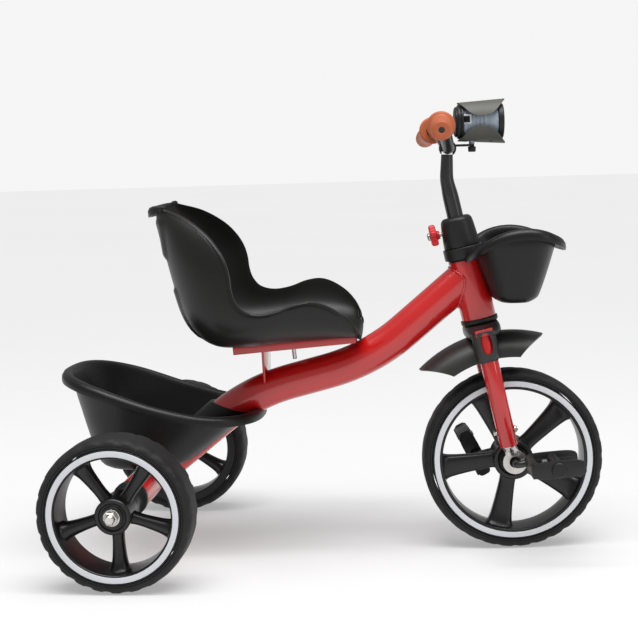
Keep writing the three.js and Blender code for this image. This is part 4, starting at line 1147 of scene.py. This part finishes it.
def fork_tip(y):
    """A plug that is pressed flat below the leg and ends in a round eye."""
    stations = [
        (4, 0, 13.5, 2.4, 0, 2.0), (10, 0, 11.5, 2.6, 0, 2.2), (15, -1, 10, 4.2, 0, 2.1),
        (19, -2, 9.8, 7.5, 0, 2.0), (23, -3, 10.4, 10.2, 0, 2), (26, -3, 10.7, 10.7, 0, 2),
        (60, -3, 10.7, 10.7, 0, 2),
    ]
    tip = shift(tower(stations, 56, 48), 0, y, 0)
    eye = shift(
        spun([(0, -2.5), (16.4, -2.5), (17, -1.9), (17, 1.9), (16.4, 2.5), (0, 2.5)], 72, "Y", closed=False),
        0, y, 0,
    )
    cut(tip, eye, "UNION")
    cut(tip, bar(7.8, (0, y - 20, 0), (0, y + 20, 0), 48))
    return cut(tip, bar(2.8, (-40, y, FORK_BOLT), (40, y, FORK_BOLT), 24))


# ---- fork cover and mudguard ----
def guard_point(t, v):
    side = (2 * v - 1) * math.pi / 2
    pointed = 11 * (1 - math.cos(side)) ** 0.8
    angle = math.radians(mix(63 + pointed, 123 - pointed, t))
    radius = 145 + 34 * math.cos(side)
    return (radius * math.cos(angle), 40 * math.sin(side), radius * math.sin(angle))


def build_fork_cover():
    guard = moulded(48, 40, guard_point)
    facing(guard, (0, 0, 179), (0, 0, 1))
    modify(guard, "SOLIDIFY", thickness=2.8, offset=-1, use_even_offset=False)
    cover = tower(
        [
            (177, 0, 21, 50, 0, 3), (180, 0, 24.4, 55, 0, 3), (185, 0, 25, 56, 0, 3),
            (190, 0, 24.6, 50, 0, 3), (193.6, 0, 23, 40, 0, 3),
        ],
        20, 72,
    )
    cut(cover, guard, "UNION")
    for y in (-LEG_SPREAD, LEG_SPREAD):
        sleeve = tower([
            (140, -3, 5, 5, y, 2.2), (141.5, -3, 9.5, 9, y, 2.2), (145, -3, 13.6, 13, y, 2.2),
            (150, -3, 15.8, 15, y, 2.2), (158, -3, 16.6, 15.8, y, 2.2), (186, -3, 17, 16, y, 2.2),
        ], 40, 48)
        cut(cover, sleeve, "UNION")
    cut(cover, bar(146, (0, -28, 0), (0, 28, 0), 96))
    for y in (-LEG_SPREAD, LEG_SPREAD):
        cut(cover, bar(12.8, (-3, y, 100), (-3, y, 190.3), 48))
        window = placed(tower([(44, 0, 7.5, 15, 0, 2.4), (70, 0, 7.5, 15, 0, 2.4)], 2, 40),
                        Matrix.Translation((-2, 0, 170)) @ turn(90 if y < 0 else -90, "X"))
        cut(cover, window)
    cut(cover, block((25, 109, 10), (-2, 0, 185.5)))
    cut(cover, bar(13.3, (0, 0, 150), (0, 0, 210), 48))
    settle(cover, "fork_cover_fine", STEERING, "guard", "fork", ["fork_cover"], 40)


# ---- front basket ----
BASKET_FLOOR = 220


def basket_point(height, grow, angle):
    rise = (height - BASKET_FLOOR) / 60
    rear = -23 - 24 * rise - grow
    front = 34 + 22 * max(rise, 0) ** 0.8 + grow
    half = 60 + 24 * min(rise, 1.3) + grow
    return rounded_loop((rear + front) / 2, (front - rear) / 2, half, 3, angle)


def basket_edge_height(angle):
    height = 300.0
    for _ in range(12):
        x = basket_point(height, 0, angle)[0]
        height = 0.5 * height + 0.5 * (242 + math.sqrt(max(75 ** 2 - (x - 12) ** 2, 0)))
    return height


BASKET_ROLL = [(1.6, 1.4), (5, 2.2), (8.4, 1.0), (10.4, -2.2), (10.9, -6.5), (10.4, -10)]


def basket_wall(rows, columns, roll):
    floor_rows, wall_rows = 5, rows - 5 - len(roll)

    def place(u, v):
        row = round(u * rows)
        angle = 2 * math.pi * v
        if row <= floor_rows:
            share = row / floor_rows
            x, y = basket_point(BASKET_FLOOR, -8, angle)
            return (mix(3, x, share), y * share, BASKET_FLOOR)
        top = basket_edge_height(angle)
        if row <= floor_rows + wall_rows:
            share = (row - floor_rows) / wall_rows
            height = mix(BASKET_FLOOR, top, share ** 1.2)
            ease = max(1 - (height - BASKET_FLOOR) / 9, 0)
            x, y = basket_point(height, -8 * ease ** 2, angle)
            return (x, y, height)
        grow, rise = roll[row - floor_rows - wall_rows - 1]
        x, y = basket_point(top, grow, angle)
        return (x, y, top + rise)

    return moulded(rows, columns, place)


def axis_rod(radius, low, high, sides=64):
    return placed(bar(radius, (0, 0, low), (0, 0, high), sides), LEAN)


def build_front_basket():
    basket = basket_wall(34, 128, BASKET_ROLL)
    facing(basket, (60, 0, 270), (1, 0, 0))
    modify(basket, "SOLIDIFY", thickness=2.6, offset=-1, use_even_offset=False)
    notch = cut(filled(basket_wall(28, 96, [])), axis_rod(28.4, 150, 303), "INTERSECT")
    for part in (basket, notch):
        cut(part, axis_rod(25.6, 100, 287.4))
        cut(part, axis_rod(28, 287.0, 400))
    join([basket, notch])
    settle(basket, "front_basket_fine", LEVEL, "tub", "fork", ["front_basket"], 45)
    collar = spun(
        [(13.6, 287.4), (27, 287.4), (27.4, 288.4), (27.4, 302), (26.4, 303), (13.6, 303)], 72, ease=0.6,
    )
    settle(collar, "front_basket_collar", STEERING, "moulding", "fork")


# ---- clamp, stem, bar and grips ----
CLAMP_HEIGHT = 326


def build_steering_head():
    cap = spun(
        [
            (13.4, 303.4), (25, 303.4), (24.6, 312), (22.8, 334), (21.6, 340.5), (19.4, 343.8),
            (16.5, 345.2), (11.4, 345.2), (11.4, 339), (13.4, 339),
        ],
        72, ease=1.2,
    )
    cut(cap, bar(3.5, (-60, 0, CLAMP_HEIGHT), (0, 0, CLAMP_HEIGHT), 24))
    settle(cap, "steering_cap_fine", STEERING, "moulding", "fork", ["steering_cap"])

    def lobed(u, v):
        angle = 2 * math.pi * v
        height = mix(0, 9.4, u)
        rounding = math.sqrt(max(1 - abs(2 * u - 1) ** 5 * 0.32, 0.1))
        radius = (13.4 + 2.4 * math.cos(5 * angle)) * rounding
        return (radius * math.cos(angle), radius * math.sin(angle), height)

    knob = filled(moulded(14, 120, lobed))
    bevel(knob, 0.7, 2, 50)
    cut(knob, bar(3.2, (0, 0, -40), (0, 0, 40), 24))
    neck = spun([(3.2, -4), (5.6, -4), (6.6, 0.4), (3.2, 0.4)], 40, ease=0.4)
    knob = placed(join([knob, neck]), Matrix.Translation((-30.6, 0, CLAMP_HEIGHT)) @ turn(-90, "Y"))
    settle(knob, "clamp_knob_fine", STEERING, "knob", "clamp", ["clamp_knob"], 35)
    screw = spun(
        [(0, -10.2), (3, -10.2), (3, 9.8), (5.4, 10.2), (5.2, 12.2), (3.4, 13.4), (0, 13.8)], 36, "X",
        ease=0.3, closed=False,
    )
    screw = placed(screw, Matrix.Translation((-30.6, 0, CLAMP_HEIGHT)) @ turn(180, "Z"))
    settle(screw, "clamp_screw_fine", STEERING, "zinc", "clamp", ["clamp_screw"])


def build_handlebar():
    line = bent_line([(0, 0, 252), (0, 0, 398), (8.4, 0, 431)], 60, 3.0)
    radii = [ramp([(250, 11), (372, 11), (392, 9.6), (415, 8.6), (431, 8.0)], point.z) / 11 for point in line]
    stem = swept(line, 11, 56, radii)
    cut(stem, bar(9.2, (0, 0, 240), (0, 0, 345), 40))
    settle(stem, "stem_fine", STEERING, "black_steel", "handlebar", ["stem"], 50)
    half = [Vector(p) for p in ((-5, 168, 462), (3.6, 70, 470), (9, 44, 458), (11.5, 12, 439.5))]
    other = [Vector((p.x, -p.y, p.z)) for p in reversed(half)]
    handle = swept(bent_line([*half, *other], 16, 3.0), 8.5, 48)
    settle(handle, "handlebar_tube_fine", STEERING, "black_steel", "handlebar", ["handlebar_tube"], 50)
    for side, sign in SIDES:
        build_grip(side, sign)


def build_grip(side, sign):
    inner, outer = 76, 170
    long = outer - inner
    profile = [
        (9.1, 0), (17.4, 0), (19.2, 1.6), (19.2, 4.4), (17.8, 6), (15.2, 7), (13.8, 9), (14.2, 20),
        (14.6, long * 0.36),
        (13.6, long * 0.56), (12.6, long * 0.66), (12.9, long * 0.74), (13.8, long * 0.8),
        (14.1, long * 0.84), (13.4, long * 0.88),
        (12.2, long * 0.905), (12.2, long * 0.92), (13.2, long * 0.93), (13.2, long * 0.97),
        (12.6, long * 0.985), (11.2, long * 0.99),
        (11.2, long + 1.8), (10.4, long + 2.8), (4.6, long + 2.8), (3.8, long + 1.6),
        (3.8, long - 0.6), (9.1, long - 0.6),
    ]
    grip = spun(profile, 72, ease=0.9)
    for vertex in grip.data.vertices:
        x, y, z = vertex.co
        if math.hypot(x, y) > 12 and 14 < z < long * 0.5:
            groove = 1 - 0.035 * smooth_step(0.3, 0.9, math.cos(z * 1.15)) * smooth_step(14, 20, z)
            vertex.co.x, vertex.co.y = x * groove, y * groove
    bend, end = Vector((3.6, sign * 70, 470)), Vector((-5, sign * 168, 462))
    turned = Vector((0, 0, 1)).rotation_difference((end - bend).normalized()).to_matrix().to_4x4()
    start = Matrix.Translation(bend.lerp(end, (inner - 70) / 98))
    settle(
        placed(grip, start @ turned), f"grip_{side}_fine", STEERING, "grip", "handlebar", [f"grip_{side}"],
        45,
    )


# ---- lamp ----
LAMP_REAR, LAMP_HEIGHT, LAMP_SCREW = -71, 467, -47


def lamp_across(profile, steps=80, ease=0.5, closed=False):
    return shift(spun(profile, steps, "X", ease, closed), LAMP_REAR, 0, LAMP_HEIGHT)


def lamp_visor(sign):
    def place(u, v):
        extent = 76 * (1 - 0.86 * abs(2 * u - 1) ** 2.6)
        angle = math.radians(90 + (2 * v - 1) * extent)
        x = mix(-66, -2, u)
        r = 26.4 + 4 * u
        return (x, r * math.cos(angle), LAMP_HEIGHT + sign * r * math.sin(angle))

    visor = moulded(28, 48, place)
    facing(visor, (-30, 0, LAMP_HEIGHT + sign * 29), (0, 0, sign))
    return modify(visor, "SOLIDIFY", thickness=1.7, offset=-1, use_even_offset=False)


def build_lamp():
    profile = [(0, 12.4), (19, 12.4), (19.2, 15), (18.2, 17)]
    for k in range(5):
        profile += [
            (17.6 + 0.1 * k, 19 + 5 * k), (18.4 + 0.1 * k, 20 + 5 * k), (18.4 + 0.1 * k, 22 + 5 * k),
            (17.6 + 0.1 * k, 23 + 5 * k),
        ]
    profile += [(18.4, 46), (19.4, 52), (20.8, 57), (21, 59), (0, 59)]
    body = lamp_across(profile, ease=0.5)
    foot = bar(4, (LAMP_SCREW, 0, LAMP_HEIGHT - 30), (LAMP_SCREW, 0, LAMP_HEIGHT - 14), 32)
    cut(body, foot, "UNION")
    cut(body, bar(3.9, (LAMP_SCREW, 0, 400), (LAMP_SCREW, 0, 453), 32))
    cut(body, block((9, 8, 9), (-55, -19.5, LAMP_HEIGHT + 3)))
    settle(body, "lamp_body_fine", LEVEL, "lamp", "lamp", ["lamp_body"], 35)
    housing = lamp_across(
        [
            (0, 0), (18, 0), (20.4, 1.4), (21, 4), (23, 4.6), (23.2, 7.4), (21.8, 8), (21.8, 9), (23, 9.4),
            (23, 12), (0, 12),
        ],
        ease=0.6,
    )
    settle(housing, "lamp_housing_fine", LEVEL, "moulding", "lamp", ["lamp_housing"], 35)
    bezel = lamp_across(
        [(19.3, 59.4), (23.4, 59.4), (24, 60.2), (24, 66), (22.4, 67), (19.3, 67)], ease=0.5, closed=True,
    )
    settle(bezel, "lamp_bezel_fine", LEVEL, "moulding", "lamp", ["lamp_bezel"], 35)
    lens = lamp_across([(0, 59.4), (18.9, 59.4), (18.9, 63.4), (15, 65.2), (8, 66.3), (0, 66.6)], ease=0.5)
    settle(lens, "lamp_lens_fine", LEVEL, "lens", "lamp", ["lamp_lens"])
    settle(lamp_visor(1), "lamp_visor_upper_fine", LEVEL, "visor", "lamp", ["lamp_visor_upper"])
    lower = lamp_visor(-1)
    cut(lower, bar(8, (LAMP_SCREW, 0, 400), (LAMP_SCREW, 0, 460), 40))
    cut(lower, bar(2.6, (-22, -9, 400), (-22, -9, 460), 24))
    settle(lower, "lamp_visor_lower_fine", LEVEL, "visor", "lamp", ["lamp_visor_lower"])
    frame_ring = block((13, 2.2, 13), (-55, -18.6, LAMP_HEIGHT + 3), 0.8, 3)
    cut(frame_ring, block((8.6, 8, 8.6), (-55, -18.6, LAMP_HEIGHT + 3)))
    settle(frame_ring, "lamp_switch_frame", LEVEL, "ring", "lamp")
    button = block((7, 4.6, 7), (-55, -20.6, LAMP_HEIGHT + 3), 0.9, 3)
    for k in range(3):
        cut(button, block((1.0, 1.2, 5), (-57 + 2 * k, -22.9, LAMP_HEIGHT + 3)))
    settle(button, "lamp_switch_fine", LEVEL, "dark", "lamp_button", ["lamp_switch"], 30)
    thumb = spun(
        [(0, 426), (4.6, 426), (5.2, 427), (5.5, 433.2), (3.4, 433.2), (3.4, 452), (0, 452)], 40, ease=0.5,
        closed=False,
    )
    settle(shift(thumb, LAMP_SCREW), "lamp_screw_fine", LEVEL, "moulding", "handlebar", ["lamp_screw"])


# ---- the pieces of the frame that stay as they are ----
KEPT = {"steerer": "zinc", "fork_crown": "paint", "lamp_bracket": "moulding"}


def finish_kept_pieces():
    for name, finish in KEPT.items():
        data = bpy.data.objects[name].data
        data.materials.clear()
        data.materials.append(material(finish))


# ---- stage ----
def build_stage(key_power):
    deselect()
    bpy.ops.mesh.primitive_plane_add(size=60)
    floor = bpy.context.object
    floor.name = "studio_floor"
    pale = Finish("Pale studio floor", Roughness=0.9)
    pale.tone((0.50, 0.50, 0.50), 1.02, 0.6)
    pale.shader.inputs["Emission Color"].default_value = (1.0, 1.0, 1.0, 1)
    pale.shader.inputs["Emission Strength"].default_value = 0.34
    floor.data.materials.append(pale.material)

    scene = bpy.context.scene
    world = scene.world or bpy.data.worlds.new("Studio")
    scene.world = world
    world.use_nodes = True
    tree = world.node_tree
    tree.nodes.clear()
    seen = tree.nodes.new("ShaderNodeBackground")
    seen.inputs["Color"].default_value = (0.918, 0.918, 0.918, 1)
    light = tree.nodes.new("ShaderNodeBackground")
    light.inputs["Color"].default_value = (1, 1, 1, 1)
    light.inputs["Strength"].default_value = 0.34
    path = tree.nodes.new("ShaderNodeLightPath")
    pick_one = tree.nodes.new("ShaderNodeMixShader")
    out = tree.nodes.new("ShaderNodeOutputWorld")
    tree.links.new(path.outputs["Is Camera Ray"], pick_one.inputs[0])
    tree.links.new(light.outputs[0], pick_one.inputs[1])
    tree.links.new(seen.outputs[0], pick_one.inputs[2])
    tree.links.new(pick_one.outputs[0], out.inputs["Surface"])

    softbox("key_light", (-0.2, -0.5, 1.9), (-0.2, 0.0, 0.25), (2.4, 0.22), key_power * 0.4)
    softbox("side_light", (1.9, -1.2, 1.1), (0, 0, 0.3), (0.5, 1.0), key_power * 0.12)
    deselect()
    bpy.ops.object.light_add(type="SUN", location=(0, 0, 3))
    overhead = bpy.context.object
    overhead.name = "overhead_light"
    overhead.data.energy = 2.2
    overhead.data.angle = math.radians(50)
    overhead.rotation_euler = (math.radians(12), math.radians(6), 0)
    scene.view_settings.view_transform = "Standard"
    scene.view_settings.look = "None"
    build_camera()


def softbox(name, place, target, size, power):
    deselect()
    bpy.ops.object.light_add(type="AREA", location=place)
    lamp = bpy.context.object
    lamp.name = name
    lamp.data.shape = "RECTANGLE"
    lamp.data.size, lamp.data.size_y = size
    lamp.data.energy = power
    lamp.rotation_euler = (Vector(target) - Vector(place)).to_track_quat("-Z", "Y").to_euler()


CAMERA_PLACE = (-0.0586, -1.9469, 0.5483)
CAMERA_YAW, CAMERA_PITCH, CAMERA_ROLL = 0.1058, 0.1141, 0.0308
CAMERA_LENS = 79.0


def build_camera():
    sin, cos = math.sin, math.cos
    ahead = Vector(
        (-sin(CAMERA_YAW) * cos(CAMERA_PITCH), cos(CAMERA_YAW) * cos(CAMERA_PITCH), -sin(CAMERA_PITCH))
    )
    level = Vector((cos(CAMERA_YAW), sin(CAMERA_YAW), 0))
    down = ahead.cross(level)
    right = level * cos(CAMERA_ROLL) + down * sin(CAMERA_ROLL)
    upward = -(down * cos(CAMERA_ROLL) - level * sin(CAMERA_ROLL))
    deselect()
    bpy.ops.object.camera_add()
    camera = bpy.context.object
    camera.name = "studio_camera"
    turned = Matrix((right, upward, -ahead)).transposed().to_4x4()
    camera.matrix_world = Matrix.Translation(CAMERA_PLACE) @ turned
    camera.data.lens = CAMERA_LENS
    camera.data.sensor_width = 36
    camera.data.clip_end = 200
    bpy.context.scene.camera = camera


# ---- operators ----
class TRICYCLE_OT_stage(Operator):
    """Lays the pale floor and sets the lights and the camera"""

    bl_idname = "tricycle.stage"
    bl_label = "Stage"

    def execute(self, context):
        build_stage(context.scene.tricycle_sizes.key_power)
        return {"FINISHED"}


class TRICYCLE_OT_frame_tubes(Operator):
    """Builds the main tube, head tube, cross tube, their welds and the headset's rings"""

    bl_idname = "tricycle.frame_tubes"
    bl_label = "Frame tubes"

    def execute(self, context):
        build_frame_tubes()
        return {"FINISHED"}


class TRICYCLE_OT_seat_mount(Operator):
    """Builds the folded plate and strut under the seat, with their bolts"""

    bl_idname = "tricycle.seat_mount"
    bl_label = "Seat mount"

    def execute(self, context):
        build_seat_mount()
        return {"FINISHED"}


class TRICYCLE_OT_seat(Operator):
    """Builds the bucket seat"""

    bl_idname = "tricycle.seat"
    bl_label = "Seat"

    def execute(self, context):
        build_seat(context.scene.tricycle_sizes.lip)
        return {"FINISHED"}


class TRICYCLE_OT_rear_basket(Operator):
    """Builds the rear basket"""

    bl_idname = "tricycle.rear_basket"
    bl_label = "Rear basket"

    def execute(self, context):
        build_rear_basket()
        return {"FINISHED"}


class TRICYCLE_OT_rear_axle(Operator):
    """Builds the rear axle with its bushes, washers and nuts"""

    bl_idname = "tricycle.rear_axle"
    bl_label = "Rear axle"

    def execute(self, context):
        build_rear_axle()
        return {"FINISHED"}


class TRICYCLE_OT_wheels(Operator):
    """Builds the three wheels with their tyres and rings"""

    bl_idname = "tricycle.wheels"
    bl_label = "Wheels"

    def execute(self, context):
        build_rear_wheels(context.scene.tricycle_sizes)
        build_front_wheel(context.scene.tricycle_sizes)
        return {"FINISHED"}


class TRICYCLE_OT_drive(Operator):
    """Builds the cranks and pedals"""

    bl_idname = "tricycle.drive"
    bl_label = "Cranks and pedals"

    def execute(self, context):
        build_drive()
        return {"FINISHED"}


class TRICYCLE_OT_fork(Operator):
    """Builds the fork's legs, tips and bolts"""

    bl_idname = "tricycle.fork"
    bl_label = "Fork"

    def execute(self, context):
        build_fork()
        return {"FINISHED"}


class TRICYCLE_OT_fork_cover(Operator):
    """Builds the fork's cover and mudguard"""

    bl_idname = "tricycle.fork_cover"
    bl_label = "Fork cover"

    def execute(self, context):
        build_fork_cover()
        return {"FINISHED"}


class TRICYCLE_OT_front_basket(Operator):
    """Builds the front basket and its collar"""

    bl_idname = "tricycle.front_basket"
    bl_label = "Front basket"

    def execute(self, context):
        build_front_basket()
        return {"FINISHED"}


class TRICYCLE_OT_handlebar(Operator):
    """Builds the cap, the clamp's knob, the stem, the handlebar and its grips"""

    bl_idname = "tricycle.handlebar"
    bl_label = "Handlebar"

    def execute(self, context):
        build_steering_head()
        build_handlebar()
        finish_kept_pieces()
        return {"FINISHED"}


class TRICYCLE_OT_lamp(Operator):
    """Builds the lamp"""

    bl_idname = "tricycle.lamp"
    bl_label = "Lamp"

    def execute(self, context):
        build_lamp()
        return {"FINISHED"}


STEPS = [
    TRICYCLE_OT_stage, TRICYCLE_OT_frame_tubes, TRICYCLE_OT_seat_mount, TRICYCLE_OT_seat,
    TRICYCLE_OT_rear_basket,
    TRICYCLE_OT_rear_axle, TRICYCLE_OT_wheels, TRICYCLE_OT_drive, TRICYCLE_OT_fork, TRICYCLE_OT_fork_cover,
    TRICYCLE_OT_front_basket, TRICYCLE_OT_handlebar, TRICYCLE_OT_lamp,
]


class TRICYCLE_PT_panel(Panel):
    """Lists the tricycle's pieces, sizes and colours"""

    bl_label = "Tricycle"
    bl_space_type = "VIEW_3D"
    bl_region_type = "UI"
    bl_category = "Tricycle"

    def draw(self, context):
        for group in (context.scene.tricycle_sizes, context.scene.tricycle_colours):
            for key in group.__annotations__:
                self.layout.prop(group, key)
        for step in STEPS:
            self.layout.operator(step.bl_idname)


CLASSES = [TricycleColours, TricycleSizes, *STEPS, TRICYCLE_PT_panel]


def register():
    for kind in CLASSES:
        bpy.utils.register_class(kind)
    bpy.types.Scene.tricycle_colours = PointerProperty(type=TricycleColours)
    bpy.types.Scene.tricycle_sizes = PointerProperty(type=TricycleSizes)


def unregister():
    del bpy.types.Scene.tricycle_sizes
    del bpy.types.Scene.tricycle_colours
    for kind in reversed(CLASSES):
        bpy.utils.unregister_class(kind)


def main():
    register()
    for step in STEPS:
        group, name = step.bl_idname.split(".")
        getattr(getattr(bpy.ops, group), name)()


if __name__ == "__main__":
    main()
